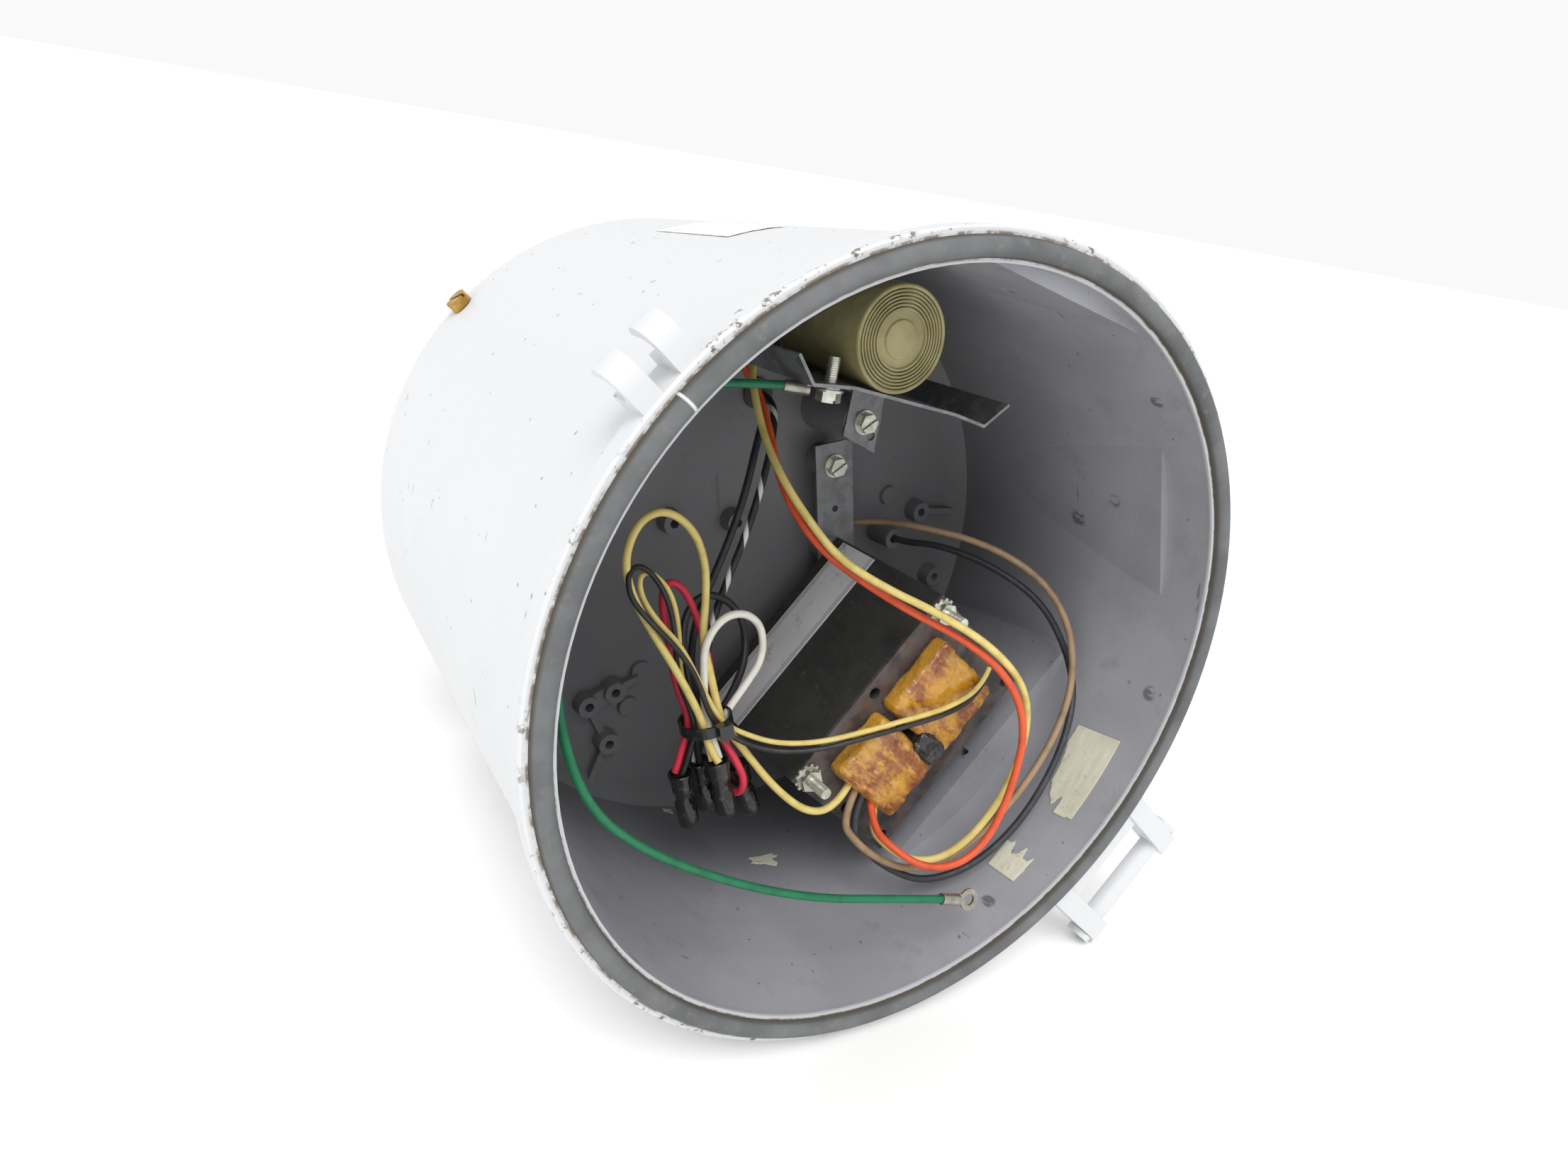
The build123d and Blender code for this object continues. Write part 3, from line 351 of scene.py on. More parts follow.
def cast_enamel():
    """Baked grey enamel over die-cast aluminium: satin, faintly pebbled, chipped where edges get knocked."""
    made, tree, shader = new_material("baked_enamel_on_die_casting", Coat_Weight=0.0)
    place = millimetres(tree)
    radius = axis_distance(tree, place)
    height = height_of(tree, place)
    wall = math(tree, "MULTIPLY_ADD", height, WALL_SLOPE, WALL_R)
    outside = span(tree, math(tree, "SUBTRACT", radius, wall), 0.9, 2.0)
    clouds = mottle(tree, place, 60)
    base = tint(tree, span(tree, clouds, 0.35, 0.65), "#97989E", "#A2A3A9")
    # painted shade: the enamel darker deeper in the housing, towards its floor, where little light reaches
    base = tint(tree, span(tree, height, -40, -150), base, "#6F7074")
    # painted light: the same enamel, lighter on the outside, where the light falls fully
    base = tint(tree, outside, base, "#D6D7D9")
    # handling grime in long faint smears, and dark scuffs
    grime = mottle(tree, place, 26, 6, 0.7)
    inside = math(tree, "SUBTRACT", 1.0, outside)
    soiled = times(tree, span(tree, grime, 0.56, 0.74), inside)
    base = tint(tree, times(tree, soiled, 0.45), base, "#7F7B76")
    scuff = mottle(tree, place, 7, 3, 0.6, (1.0, 0.18, 1.0))
    base = tint(tree, times(tree, span(tree, scuff, 0.70, 0.73), 0.55), base, "#54524F")
    specks = add(tree, "ShaderNodeTexVoronoi", {"Vector": place, "Scale": 1 / SPECK_PITCH})
    spots = span(tree, specks.outputs["Distance"], 0.075, 0.04)
    base = tint(tree, times(tree, spots, 0.6), base, "#5B4F44")
    for x, y, z, size in SCUFFS:
        away = add(tree, "ShaderNodeVectorMath", {0: place, 1: (x, y, z)}, operation="DISTANCE")
        rubbed = span(tree, away.outputs["Value"], size, 0.6 * size)
        broken = span(tree, mottle(tree, place, 3, 3, 0.6, (1, 1, 0.3)), 0.42, 0.5)
        base = tint(tree, times(tree, rubbed, broken, 0.7), base, "#4B4B4B")
    # dirt settles on the floor round the gear
    floor = times(tree, span(tree, height, -128, -152), inside)
    dust = span(tree, mottle(tree, place, 14, 5, 0.65), 0.4, 0.7)
    base = tint(tree, times(tree, floor, dust, 0.5), base, "#77726C")
    # brown lines beside the gasket, a painted highlight on the lip inside it, chips on the flange's corner
    near_face = span(tree, height, -2.5, -0.5)
    seam_in = span(tree, distance(tree, radius, GROOVE_R[0]), 0.8, 0.2)
    seam_out = span(tree, distance(tree, radius, GROOVE_R[1]), 1.1, 0.2)
    broken = span(tree, mottle(tree, place, 9, 4, 0.7), 0.42, 0.58)
    dirt = times(tree, math(tree, "MAXIMUM", seam_in, seam_out), near_face, broken)
    # painted highlight: an even lighter band all round the lip's face
    lip_highlight = times(tree, span(tree, height, -1.6, -0.4), span(tree, radius, 140.9, 140.4))
    base = tint(tree, lip_highlight, base, "#C9CACE")
    base = tint(tree, times(tree, dirt, 0.85), base, "#6E5A41")
    corner = times(tree, span(tree, radius, 147.6, 148.6), span(tree, radius, 150.5, 150.1),
                   span(tree, height, -4.0, -1.0))
    knocked = span(tree, mottle(tree, place, 38), 0.44, 0.56)
    chip = times(tree, corner, knocked, span(tree, mottle(tree, place, 5, 6, 0.75), 0.55, 0.58))
    base = tint(tree, chip, base, "#6F6A60")
    rough = math(tree, "MULTIPLY_ADD", grime, 0.35, 0.28)
    pebble = mottle(tree, place, 1.6, 3, 0.5)
    finish_shader(tree, shader, base, rough, pebble, 0.12)
    return made


def sponge_rubber():
    """Closed-cell neoprene cord: matt and slightly porous, greyed by dust, with one butt joint."""
    made, tree, shader = new_material("neoprene_sponge_cord", Specular_IOR_Level=0.3)
    place = millimetres(tree)
    base = tint(tree, span(tree, mottle(tree, place, 22), 0.35, 0.65), "#626465", "#727475")
    dust = span(tree, mottle(tree, place, 5, 6, 0.7), 0.55, 0.72)
    base = tint(tree, times(tree, dust, 0.5), base, "#86857F")
    radius = axis_distance(tree, place)
    # painted shade: the cord darker along both edges, where its round section turns down into the groove
    edge = span(tree, distance(tree, radius, GASKET_MID_R), 2.6, 3.5)
    base = tint(tree, times(tree, edge, 0.8), base, "#4C463B")
    line = span(tree, distance(tree, along(tree, place, polar(1, BUTT_ANGLE + 90)), 0.0), 0.7, 0.25)
    side = math(tree, "GREATER_THAN", along(tree, place, polar(1, BUTT_ANGLE)), 0.0)
    base = tint(tree, times(tree, line, side), base, "#D5D6D4")
    rough = span(tree, mottle(tree, place, 3), -1.6, 1.0)
    finish_shader(tree, shader, base, rough, mottle(tree, place, 0.9, 3), 0.15)
    return made


SHEET_LINE_PITCH = 1.0


def varnished_stack():
    """Baked black varnish over stacked silicon-steel sheets: the sheets' edges show as fine lines."""
    made, tree, shader = new_material("varnished_lamination_stack", Coat_Weight=0.15)
    place = millimetres(tree)
    base = tint(tree, span(tree, mottle(tree, place, 16), 0.3, 0.7), "#252422", "#32312D")
    dust = span(tree, mottle(tree, place, 3.5, 5, 0.7), 0.6, 0.72)
    base = tint(tree, times(tree, dust, 0.5), base, "#6A6459")
    # the sheets are 0.5 mm thick; their lines are drawn at twice that pitch so that they show
    height = height_of(tree, place)
    sheet = math(tree, "SINE", times(tree, height, 2 * pi / SHEET_LINE_PITCH))
    rough = span(tree, mottle(tree, place, 6), -0.8, 1.3)
    finish_shader(tree, shader, base, rough, sheet, 0.12)
    return made


def bare_lamination():
    """Uncoated silicon steel, oxidised and splashed with thin varnish."""
    made, tree, shader = new_material("oxidised_silicon_steel", Metallic=0.55)
    place = millimetres(tree)
    base = tint(tree, span(tree, mottle(tree, place, 10, 5), 0.35, 0.65), "#4B4748", "#6B6462")
    rust = span(tree, mottle(tree, place, 6, 6, 0.75), 0.55, 0.66)
    base = tint(tree, times(tree, rust, 0.8), base, "#7A5236")
    rough = span(tree, mottle(tree, place, 4), -0.6, 1.4)
    finish_shader(tree, shader, base, rough, mottle(tree, place, 0.8), 0.05)
    return made


def varnished_tape():
    """Acetate tape soaked in amber varnish: glossy, deep yellow, browned where it ran and pooled."""
    made, tree, shader = new_material("varnish_soaked_tape", Coat_Weight=0.8, Coat_Roughness=0.08)
    place = millimetres(tree)
    base = tint(tree, span(tree, mottle(tree, place, 14), 0.3, 0.7), "#C98F22", "#D8A336")
    height = height_of(tree, place)
    front = span(tree, height, -53.0, -49.5)
    turned = add(tree, "ShaderNodeVectorRotate", {"Vector": place, "Angle": radians(-CORE_ANGLE)},
                 rotation_type="Z_AXIS").outputs[0]
    runs = mottle(tree, turned, 8, 6, 0.7, (1.4, 0.45, 1.0))
    fog = mottle(tree, place, 20, 3, 0.5)
    browned = times(tree, span(tree, runs, 0.36, 0.58), span(tree, fog, 0.34, 0.52))
    base = tint(tree, times(tree, browned, math(tree, "MAXIMUM", front, 0.2)), base, "#8A4514")
    drops = span(tree, mottle(tree, turned, 3.0, 5, 0.7, (1.3, 0.6, 1)), 0.60, 0.68)
    base = tint(tree, times(tree, drops, front, 0.7), base, "#552B10")
    pale = span(tree, mottle(tree, turned, 5, 4, 0.6, (1, 0.4, 1)), 0.62, 0.7)
    base = tint(tree, times(tree, pale, front, 0.5), base, "#D9C084")
    rough = scaled(tree, mottle(tree, place, 4), 0.14, 0.38)
    wrinkles = mottle(tree, turned, 2.4, 4, 0.6, (1.6, 0.35, 1))
    finish_shader(tree, shader, base, rough, wrinkles, 0.7)
    return made


def plain_finish(name, light, dark, size, rough_low, rough_high, grain, depth, **values):
    """A finish that is two close tones in blotches, with its own roughness range and grain."""
    made, tree, shader = new_material(name, **values)
    place = millimetres(tree)
    base = tint(tree, span(tree, mottle(tree, place, size), 0.35, 0.65), light, dark)
    dust = span(tree, mottle(tree, place, size / 3, 5, 0.7), 0.58, 0.72)
    base = tint(tree, times(tree, dust, 0.35), base, "#8C857A")
    rough = scaled(tree, mottle(tree, place, size / 2), rough_low, rough_high)
    finish_shader(tree, shader, base, rough, mottle(tree, place, grain), depth)
    return made


SPANGLE = 4.5


def galvanised_sheet():
    """Hot-dip galvanised steel sheet: dull grey crystals a few millimetres across, dusty in patches."""
    made, tree, shader = new_material("galvanised_sheet", Metallic=0.75)
    place = millimetres(tree)
    spangle = add(tree, "ShaderNodeTexVoronoi", {"Vector": place, "Scale": 1 / SPANGLE})
    grey = add(tree, "ShaderNodeRGBToBW", {0: spangle.outputs["Color"]}).outputs[0]
    base = tint(tree, grey, "#6E7073", "#96989A")
    tarnish = span(tree, mottle(tree, place, 9, 5, 0.7), 0.5, 0.7)
    base = tint(tree, times(tree, tarnish, 0.6), base, "#6E665D")
    rough = scaled(tree, grey, 0.35, 0.6, 0.0, 1.0)
    finish_shader(tree, shader, base, rough, mottle(tree, place, 1.2), 0.04)
    return made


STRIPE_TURNS = 9


def pvc_insulation(name, base_hex, stain_hex, stripe=None):
    """Extruded PVC wire covering: soft sheen, with finger marks and dust along its length."""
    made, tree, shader = new_material(name, Specular_IOR_Level=0.45)
    place = millimetres(tree)
    handled = span(tree, mottle(tree, place, 9, 5, 0.65), 0.42, 0.72)
    base = tint(tree, times(tree, handled, 0.7), base_hex, stain_hex)
    if stripe:
        # a tracer stripe that winds once round the covering in about 20 mm
        cover = add(tree, "ShaderNodeTexCoord").outputs["UV"]
        travel, around = add(tree, "ShaderNodeSeparateXYZ", {0: cover}).outputs[:2]
        turn = math(tree, "FRACT", math(tree, "MULTIPLY_ADD", travel, STRIPE_TURNS, around))
        painted = times(tree, span(tree, turn, 0.0, 0.03), span(tree, turn, 0.30, 0.27))
        base = tint(tree, painted, base, stripe)
    rough = scaled(tree, mottle(tree, place, 4), 0.32, 0.55)
    finish_shader(tree, shader, base, rough, mottle(tree, place, 1.3), 0.05)
    return made


# the core label's thin ruled lines: where the set is centred and how far out they lie
RULE_MID_Z = -118.5
RULE_FOLD = 10.8
RULE_OFFSET = 10.2


def blank_label(name, paper, edge, rules):
    """A printed-label stock left blank but for thin ruled lines, rubbed and soiled."""
    made, tree, shader = new_material(name, Specular_IOR_Level=0.4)
    place = millimetres(tree)
    base = tint(tree, span(tree, mottle(tree, place, 20), 0.3, 0.7), paper, edge)
    rubbed = span(tree, mottle(tree, place, 6, 6, 0.75), 0.56, 0.70)
    base = tint(tree, times(tree, rubbed, 0.6), base, "#7C766C")
    if rules:
        folded = math(tree, "PINGPONG", math(tree, "SUBTRACT", height_of(tree, place), RULE_MID_Z), RULE_FOLD)
        line = span(tree, distance(tree, folded, RULE_OFFSET), 0.30, 0.12)
        base = tint(tree, times(tree, line, 0.75), base, "#4B4C4E")
    rough = scaled(tree, mottle(tree, place, 5), 0.4, 0.75, 0.0, 1.0)
    finish_shader(tree, shader, base, rough, mottle(tree, place, 1.5), 0.05)
    return made


enamel = cast_enamel()
finishes = {
    "grey_paint": enamel,
    "rod_paint": enamel,
    "gasket_rubber": sponge_rubber(),
    "core_varnish": varnished_stack(),
    "bare_lamination": bare_lamination(),
    "winding_tape": varnished_tape(),
    "sealed_joint": plain_finish("shrunk_sealing_tape", "#1C1C20", "#2B2725", 7, 0.15, 0.4, 3, 0.6,
                                 Coat_Weight=0.5),
    "label_film": blank_label("label_film", "#E2E2E2", "#D2D3D4", True),
    "wall_label": blank_label("label_paper", "#DDDBC8", "#CFCCB8", False),
    "sticker": blank_label("white_vinyl", "#F4F4F2", "#E9E9E7", False),
    "zinc_steel": plain_finish("zinc_plated_steel", "#D4D5CC", "#BFC0B0", 5, 0.2, 0.42, 1.0, 0.04,
                               Metallic=0.9),
    "zinc_sheet": galvanised_sheet(),
    "olive_plastic": plain_finish("moulded_phenolic", "#A59D6F", "#8F875C", 16, 0.3, 0.5, 1.0, 0.05),
    "black_plastic": plain_finish("black_nylon", "#141415", "#1E1D1C", 9, 0.12, 0.32, 2, 0.06,
                                  Coat_Weight=0.3),
    "clear_nylon": plain_finish("natural_nylon", "#D9D4C0", "#CBC5AE", 6, 0.3, 0.5, 1.5, 0.05),
    "tinned_brass": plain_finish("tinned_brass", "#A8A69E", "#918D80", 4, 0.2, 0.4, 0.8, 0.05, Metallic=0.9),
    "porcelain": plain_finish("glazed_porcelain", "#EDEBE2", "#E2DFD2", 30, 0.08, 0.2, 6, 0.1,
                              Coat_Weight=0.4),
    "plated_shell": plain_finish("nickel_plated_shell", "#C9C3AE", "#B7AE92", 8, 0.15, 0.35, 1, 0.03,
                                 Metallic=0.95),
    "brass": plain_finish("machined_brass", "#C9A35A", "#A98243", 5, 0.25, 0.45, 0.8, 0.04, Metallic=0.95),
    "lead_orange": pvc_insulation("orange_pvc", "#DD5A33", "#BC4726"),
    "lead_cream": pvc_insulation("yellow_pvc", "#DFCB7C", "#BFA855"),
    "lead_brown": pvc_insulation("brown_pvc", "#A3886A", "#7C634A"),
    "lead_grey": pvc_insulation("slate_pvc", "#34373C", "#4B4C4E"),
    "lead_black": pvc_insulation("black_pvc", "#232324", "#3A3937"),
    "lead_white": pvc_insulation("white_pvc", "#E4E3DA", "#CFCCBD"),
    "lead_red": pvc_insulation("red_pvc", "#D5344C", "#A9263B"),
    "lead_green": pvc_insulation("green_pvc", "#12724A", "#0E5638"),
}
tracer = pvc_insulation("black_pvc_with_white_tracer", "#232324", "#3A3937", "#DDDCD6")

slot_of = {part["node"]: part["material_slot"] for part in frame["record"]["subparts"]}


def dress(made, slot, finish=None):
    made.data.materials.clear()
    made.data.materials.append(finish or finishes[slot])


for name, made in nodes.items():
    for index in range(max(1, len(made.material_slots))):
        if not made.material_slots:
            made.data.materials.append(None)
        made.material_slots[index].material = finishes[slot_of[name]]

for name, made in leads.items():
    striped = name == "lampholder_lead_white"
    dress(made, slot_of[name], tracer if striped else None)


# ---------- mesh helpers ----------
def add_mesh(name, points, faces, slot, stands_for=(), smooth=True, finish=None):
    """A piece from points in the housing's millimetres and faces; it rides on the housing."""
    data = bpy.data.meshes.new(name)
    data.from_pydata([at(*p) for p in points], [], faces)
    sheet = bmesh.new()
    sheet.from_mesh(data)
    bmesh.ops.remove_doubles(sheet, verts=sheet.verts, dist=1e-6)
    bmesh.ops.recalc_face_normals(sheet, faces=sheet.faces)
    sheet.to_mesh(data)
    sheet.free()
    for face in data.polygons:
        face.use_smooth = smooth
    made = bpy.data.objects.new(name, data)
    bpy.context.scene.collection.objects.link(made)
    dress(made, slot, finish)
    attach(made, BODY)
    if stands_for:
        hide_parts(*stands_for)
    return made


def lathe(outline, start, along, sides=48, wobble=None):
    """Points and faces of an outline of (radius, height) turned about a line; closed at both ends."""
    along = Vector(along).normalized()
    across = along.orthogonal().normalized()
    third = along.cross(across)
    points = []
    for radius, height in outline:
        for side in range(sides):
            a = 2 * pi * side / sides
            r = radius + (wobble(height, a) if wobble else 0)
            points.append(Vector(start) + along * height + (across * cos(a) + third * sin(a)) * r)
    faces = []
    for ring in range(len(outline) - 1):
        for side in range(sides):
            low, nxt = ring * sides + side, ring * sides + (side + 1) % sides
            faces.append((low, nxt, nxt + sides, low + sides))
    faces.append(tuple(range(sides))[::-1])
    faces.append(tuple(range((len(outline) - 1) * sides, len(outline) * sides)))
    return points, faces


# ---------- capacitor ----------
CAN_R = 19.4
CAN_AT = (20.8, 106.2)
CAN_FRONT_Z = -50.0
CAN_BACK_Z = -130.0
CAN_RIDGES = 6
CAN_DISC_R = 6.8
CAN_BAND_R = 10.4


def capacitor_face():
    """Concentric moulded ridges, then a plain band, round a flat middle disc."""
    floor = CAN_FRONT_Z - 1.6
    crest = CAN_FRONT_Z - 0.25
    outline = [(CAN_R - 0.6, CAN_BACK_Z), (CAN_R, CAN_BACK_Z + 0.6), (CAN_R, CAN_FRONT_Z - 0.8),
               (CAN_R - 0.3, CAN_FRONT_Z - 0.2), (CAN_R - 0.8, CAN_FRONT_Z)]
    pitch = (CAN_R - 1.6 - CAN_BAND_R) / CAN_RIDGES
    for ridge in range(CAN_RIDGES):
        outer = CAN_R - 1.6 - ridge * pitch
        outline += [(outer + 0.1 * pitch, crest), (outer, floor), (outer - 0.3 * pitch, floor),
                    (outer - 0.42 * pitch, crest)]
    outline += [(CAN_BAND_R, crest), (CAN_BAND_R - 0.4, crest - 0.7), (CAN_DISC_R + 0.4, crest - 0.7),
                (CAN_DISC_R, crest - 0.1), (CAN_DISC_R - 0.6, crest), (0.02, crest)]
    points, faces = lathe(outline, (*CAN_AT, 0), (0, 0, 1), 120)
    add_mesh("capacitor_shell", points, faces, "olive_plastic", ["capacitor_can"], smooth=False)


# ---------- windings ----------
def rounded_block(low, high, radius, cuts, shape):
    """A block in the core's (u, s, z) with rounded edges, its skin pushed about by shape(point, outward)."""
    grid = bmesh.new()
    bmesh.ops.create_cube(grid, size=2.0)
    bmesh.ops.subdivide_edges(grid, edges=grid.edges[:], cuts=cuts, use_grid_fill=True)
    half = [(b - a) / 2 for a, b in zip(low, high)]
    middle = Vector([(a + b) / 2 for a, b in zip(low, high)])
    points = []
    for corner in grid.verts:
        full = Vector([c * h for c, h in zip(corner.co, half)])
        inner = Vector([max(-(h - radius), min(h - radius, f)) for f, h in zip(full, half)])
        outward = (full - inner).normalized()
        place = middle + inner + outward * radius
        place += outward * shape(place, outward)
        points.append((*core_point(place.x, place.y), place.z))
    grid.verts.index_update()
    faces = [tuple(v.index for v in face.verts) for face in grid.faces]
    grid.free()
    return points, faces


def wound(place, outward):
    """Lumps where wire and tape lie under the varnish, and shallow steps between turns of tape."""
    lumps = 0.55 * noise.fractal(place / 11.0, 0.6, 2.0, 3)
    turns = 0.16 * (1 if int(place.x / 7.0 + 0.5 * noise.noise(place / 15.0)) % 2 else -1)
    crown = 0.9 * cos((place.y - 32) / 21 * pi / 2) * max(0.0, outward.z)
    return lumps + turns + crown


def windings():
    for number, (start, end) in enumerate(COIL_U, 1):
        points, faces = rounded_block((start, COIL_S[0] - 1, CORE_FRONT_Z - 1),
                                      (end + 1.5, COIL_S[1], CORE_FRONT_Z + COIL_PROUD), 3.2, 44, wound)
        rear, rear_faces = rounded_block((start, COIL_S[0], CORE_BACK_Z - COIL_PROUD),
                                         (end, COIL_S[1], CORE_BACK_Z + 1), 3.6, 24, wound)
        faces += [tuple(index + len(points) for index in face) for face in rear_faces]
        add_mesh(f"taped_winding_{number}", points + rear, faces, "winding_tape", [f"coil_{number}"])


def sealed_joint():
    def lumpy(place, outward):
        return 1.1 * noise.fractal(place / 5.0, 0.7, 2.0, 3)

    low = (COIL_U[0][1] - 2.5, 32, CORE_FRONT_Z)
    high = (COIL_U[1][0] + 2.5, 50, CORE_FRONT_Z + COIL_PROUD + 3)
    points, faces = rounded_block(low, high, 3.2, 20, lumpy)
    add_mesh("sealed_splice", points, faces, "sealed_joint", ["coil_splice"])


# ---------- closed-end connectors ----------
def connectors():
    """Capped sleeves with a flared skirt, crimped once below the skirt."""
    made = []
    for number, (start, end) in enumerate(CONNECTORS, 1):
        along = Vector(end) - Vector(start)
        length = along.length
        profile = [(-1.0, 1.5), (-0.7, 0.0), (0.1, 0.0), (0.1, 0.8), (-0.2, 2.5), (-0.5, 6.5), (-0.5, 8.0),
                   (-1.2, 9.0), (-1.2, 12.5), (-0.6, 13.5), (-0.7, length - 2.5), (-1.1, length - 0.9),
                   (-2.2, length - 0.1), (0.4 - CONNECTOR_R, length)]
        outline = [(CONNECTOR_R + offset, height) for offset, height in profile]

        def squeezed(height, a):
            return -0.5 * cos(2 * a) if 8.5 < height < 13 else 0.0

        points, faces = lathe(outline, start, along, 40, squeezed)
        made.append(add_mesh(f"closed_end_connector_{number}", points, faces, "black_plastic",
                             [f"wire_connector_{number}"]))
    return made


# ---------- screw threads ----------
def thread_tree():
    """Crests of a thread: rings of round section, one pitch apart along Z. Sizes are in metres."""
    tree = bpy.data.node_groups.new("thread_crests", "GeometryNodeTree")
    tree.interface.new_socket("Geometry", in_out="OUTPUT", socket_type="NodeSocketGeometry")
    for label, kind, value in (("Count", "NodeSocketInt", 10), ("Pitch", "NodeSocketFloat", 0.0008),
                               ("Radius", "NodeSocketFloat", 0.0023), ("Crest", "NodeSocketFloat", 0.0002),
                               ("Finish", "NodeSocketMaterial", None)):
        socket = tree.interface.new_socket(label, in_out="INPUT", socket_type=kind)
        if value is not None:
            socket.default_value = value
    given = add(tree, "NodeGroupInput").outputs
    step = add(tree, "ShaderNodeCombineXYZ", {"Z": given["Pitch"]})
    places = add(tree, "GeometryNodeMeshLine", {"Count": given["Count"], "Offset": step.outputs[0]})
    ring = add(tree, "GeometryNodeCurvePrimitiveCircle", {"Resolution": 28, "Radius": given["Radius"]})
    section = add(tree, "GeometryNodeCurvePrimitiveCircle", {"Resolution": 6, "Radius": given["Crest"]})
    crest = add(tree, "GeometryNodeCurveToMesh", {"Curve": ring.outputs[0],
                                                  "Profile Curve": section.outputs[0]})
    copies = add(tree, "GeometryNodeInstanceOnPoints", {"Points": places.outputs[0],
                                                        "Instance": crest.outputs[0]})
    real = add(tree, "GeometryNodeRealizeInstances", {"Geometry": copies.outputs[0]})
    dressed = add(tree, "GeometryNodeSetMaterial", {"Geometry": real.outputs[0], "Material": given["Finish"]})
    add(tree, "NodeGroupOutput", {"Geometry": dressed.outputs[0]})
    return tree


BOLT_INSET = 5.3
BOLT_R = 2.3
BOLT_THREAD_Z = CORE_FRONT_Z + 5.0
BOLT_TURNS = 12
GROUND_SCREW_AT = (-5.5, 93.53, -57)
GROUND_SCREW_AXIS = (0.229, 0.973, 0)
GROUND_SCREW_SUNK = 1.6
GROUND_SCREW_R = 2.2
GROUND_SCREW_TURNS = 10


def threads():
    """Thread crests on the ends of the ballast bolts and on the ground screw."""
    tree = thread_tree()
    sockets = {item.name: item.identifier for item in tree.interface.items_tree if item.in_out == "INPUT"}
    near, far = core_point(BOLT_INSET, BOLT_INSET), core_point(CORE_L - BOLT_INSET, BOLT_INSET)
    sunk = Vector(GROUND_SCREW_AT) + Vector(GROUND_SCREW_AXIS) * GROUND_SCREW_SUNK
    for name, start, direction, count, radius in (
            ("bolt_thread_1", (*near, BOLT_THREAD_Z), (0, 0, 1), BOLT_TURNS, BOLT_R),
            ("bolt_thread_2", (*far, BOLT_THREAD_Z), (0, 0, 1), BOLT_TURNS, BOLT_R),
            ("ground_screw_thread", sunk, GROUND_SCREW_AXIS, GROUND_SCREW_TURNS, GROUND_SCREW_R)):
        holder = bpy.data.objects.new(name + "_maker", bpy.data.meshes.new(name + "_maker"))
        bpy.context.scene.collection.objects.link(holder)
        maker = holder.modifiers.new("thread", "NODES")
        maker.node_group = tree
        maker[sockets["Count"]] = count
        maker[sockets["Radius"]] = radius / 1000
        maker[sockets["Finish"]] = finishes["zinc_steel"]
        bpy.context.view_layer.update()
        made = bpy.data.meshes.new_from_object(holder.evaluated_get(bpy.context.evaluated_depsgraph_get()))
        bpy.data.objects.remove(holder)
        turn = placement.to_3x3().normalized() @ Vector(direction)
        made.transform(Matrix.Translation(at(*start)) @ turn.to_track_quat("Z", "Y").to_matrix().to_4x4())
        piece = bpy.data.objects.new(name, made)
        bpy.context.scene.collection.objects.link(piece)
        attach(piece, BODY)


# ---------- labels and flecks ----------
PAPER_T = 0.15
OUTSIDE_STEP = 8.0     # the outside of the wall, where the sticker is, lies this much further out
LABEL_LIFT = 0.25
SCRAP_LIFT = 0.4
LABEL_GRID = (48, 90)


def wall_sheet(name, corners, lift, ragged, seed, rows=26, columns=40, finish="wall_label"):
    """A thin sheet stuck to the inner wall between (angle, z) corners, torn where ragged(u, v) says so."""
    (a0, z0), (a1, z1), (a2, z2), (a3, z3) = corners
    points = []
    keep = {}
    for row in range(rows + 1):
        for column in range(columns + 1):
            u, v = column / columns, row / rows
            angle = (a0 * (1 - u) + a1 * u) * (1 - v) + (a3 * (1 - u) + a2 * u) * v
            z = (z0 * (1 - u) + z1 * u) * (1 - v) + (z3 * (1 - u) + z2 * u) * v
            ripple = 0.12 * noise.noise(Vector((u * 9, v * 9, seed)))
            radius = WALL_R + WALL_SLOPE * z - lift - ripple
            keep[(row, column)] = ragged(u, v)
            points.append(polar(radius, angle, z))
    faces = []
    for row in range(rows):
        for column in range(columns):
            corner_keys = [(row, column), (row, column + 1), (row + 1, column + 1), (row + 1, column)]
            if all(keep[key] for key in corner_keys):
                faces.append(tuple(r * (columns + 1) + c for r, c in corner_keys))
    made = add_mesh(name, points, faces, "label_film", finish=finishes[finish])
    loose = bmesh.new()
    loose.from_mesh(made.data)
    bmesh.ops.delete(loose, geom=[v for v in loose.verts if not v.link_faces], context="VERTS")
    loose.to_mesh(made.data)
    loose.free()
    made.modifiers.new("thickness", "SOLIDIFY").thickness = PAPER_T / 1000


def fray(value, seed, size=0.06):
    """How far a torn edge wanders at this place along it."""
    slow = noise.noise(Vector((value * 3.5, seed, 0.3)))
    return size * (slow + 0.2 * noise.noise(Vector((value * 11, seed, 1.7))))


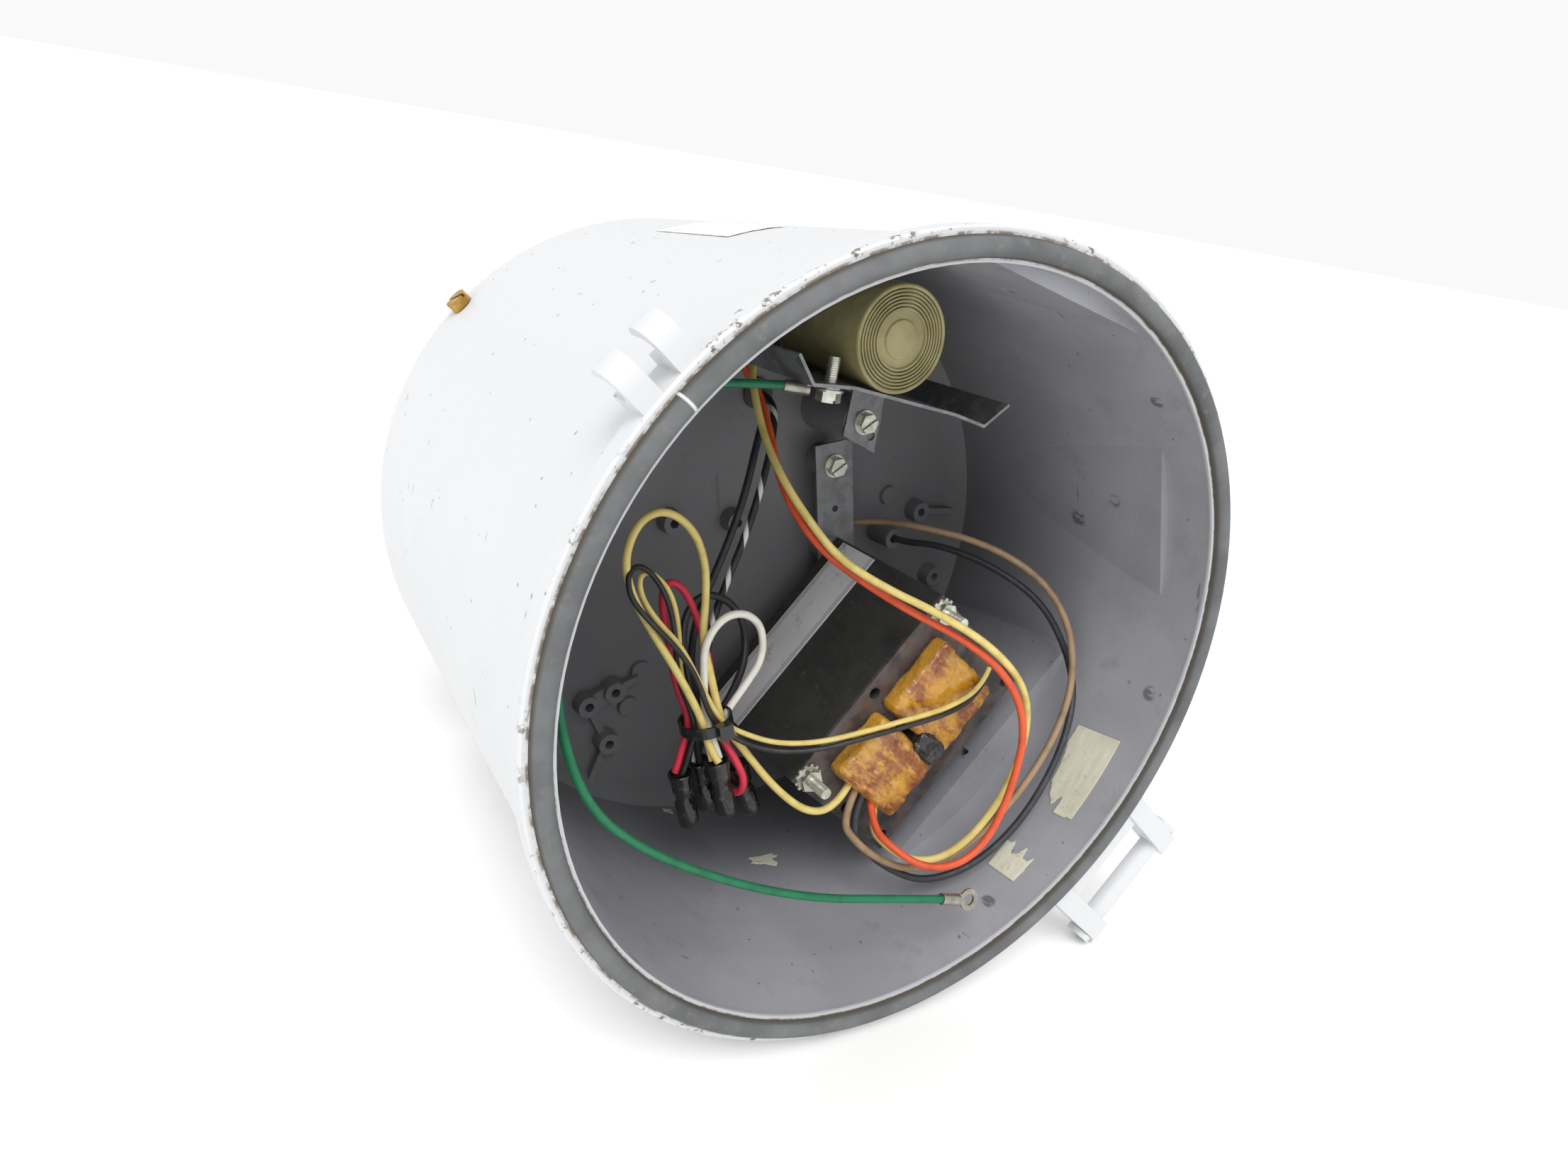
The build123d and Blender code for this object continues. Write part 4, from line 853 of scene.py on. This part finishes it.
def labels():
    """What is left of a paper label on the wall, a sticker outside, and two scraps of backing paper."""
    def upper(u, v):
        main = u < 0.42 + fray(v, 1.0, 0.12) and v < 0.90 + fray(u, 5.0, 0.1)
        return main or (v < 0.45 + fray(u, 2.0, 0.15) and u < 0.53 + fray(v, 8.0))

    def lower(u, v):
        return u > 0.78 + fray(v, 3.0, 0.16) and v > 0.06 + fray(u, 6.0)

    def scrap(u, v):
        reach = hypot((u - 0.5) * 2, (v - 0.5) * 2.6)
        return reach < 0.75 + fray(0.3 * atan2(v - 0.5, u - 0.5), 4.0, 0.7)

    def whole(u, v):
        return True

    area = ((-34.0, -14.5), (-66.5, -13), (-67, -29), (-35.5, -40))
    large = ((-96, -86), (-105, -86), (-105, -101), (-96, -101))
    small = ((-110.5, -136), (-114, -136), (-114, -143), (-110.5, -143))
    outer = ((88, -100), (98, -100), (98, -162), (88, -162))
    wall_sheet("wall_label_upper", area, LABEL_LIFT, upper, 1.0, *LABEL_GRID)
    wall_sheet("wall_label_lower", area, LABEL_LIFT, lower, 2.0, *LABEL_GRID)
    wall_sheet("paper_scrap_large", large, SCRAP_LIFT, scrap, 3.0)
    wall_sheet("paper_scrap_small", small, SCRAP_LIFT, scrap, 4.0)
    wall_sheet("outside_sticker", outer, -OUTSIDE_STEP, whole, 5.0, finish="sticker")


capacitor_face()
windings()
sealed_joint()
connector_pieces = connectors()
labels()
threads()


# ---------- studio ----------
FLOOR_HALF = 30.0      # metres
FLOOR_Z = -0.0002
SKY = 0.95
SUN = 1.5
SUN_FROM = (-0.45, -0.75, 1.25)
SUN_SPREAD = 35.0


def studio():
    """A plain white floor under soft daylight from above and in front, with light from all round."""
    floor = bpy.data.meshes.new("floor")
    corners = [(x * FLOOR_HALF, y * FLOOR_HALF, FLOOR_Z) for x, y in ((-1, -1), (1, -1), (1, 1), (-1, 1))]
    floor.from_pydata(corners, [], [(0, 1, 2, 3)])
    made = bpy.data.objects.new("floor", floor)
    bpy.context.scene.collection.objects.link(made)
    paper, _, shader = new_material("white_paper", Roughness=0.95)
    shader.inputs["Base Color"].default_value = colour("#FBFBFA")
    floor.materials.append(paper)
    world = bpy.data.worlds.new("studio")
    world.use_nodes = True
    sky = world.node_tree.nodes["Background"]
    sky.inputs[0].default_value = colour("#FFFFFF")
    sky.inputs[1].default_value = SKY
    bpy.context.scene.world = world
    bpy.context.scene.view_settings.view_transform = "Standard"
    sun = bpy.data.lights.new("window", "SUN")
    sun.energy = SUN
    sun.angle = radians(SUN_SPREAD)
    lamp = bpy.data.objects.new("window", sun)
    bpy.context.scene.collection.objects.link(lamp)
    lamp.rotation_euler = (-Vector(SUN_FROM)).to_track_quat("-Z", "Y").to_euler()


studio()
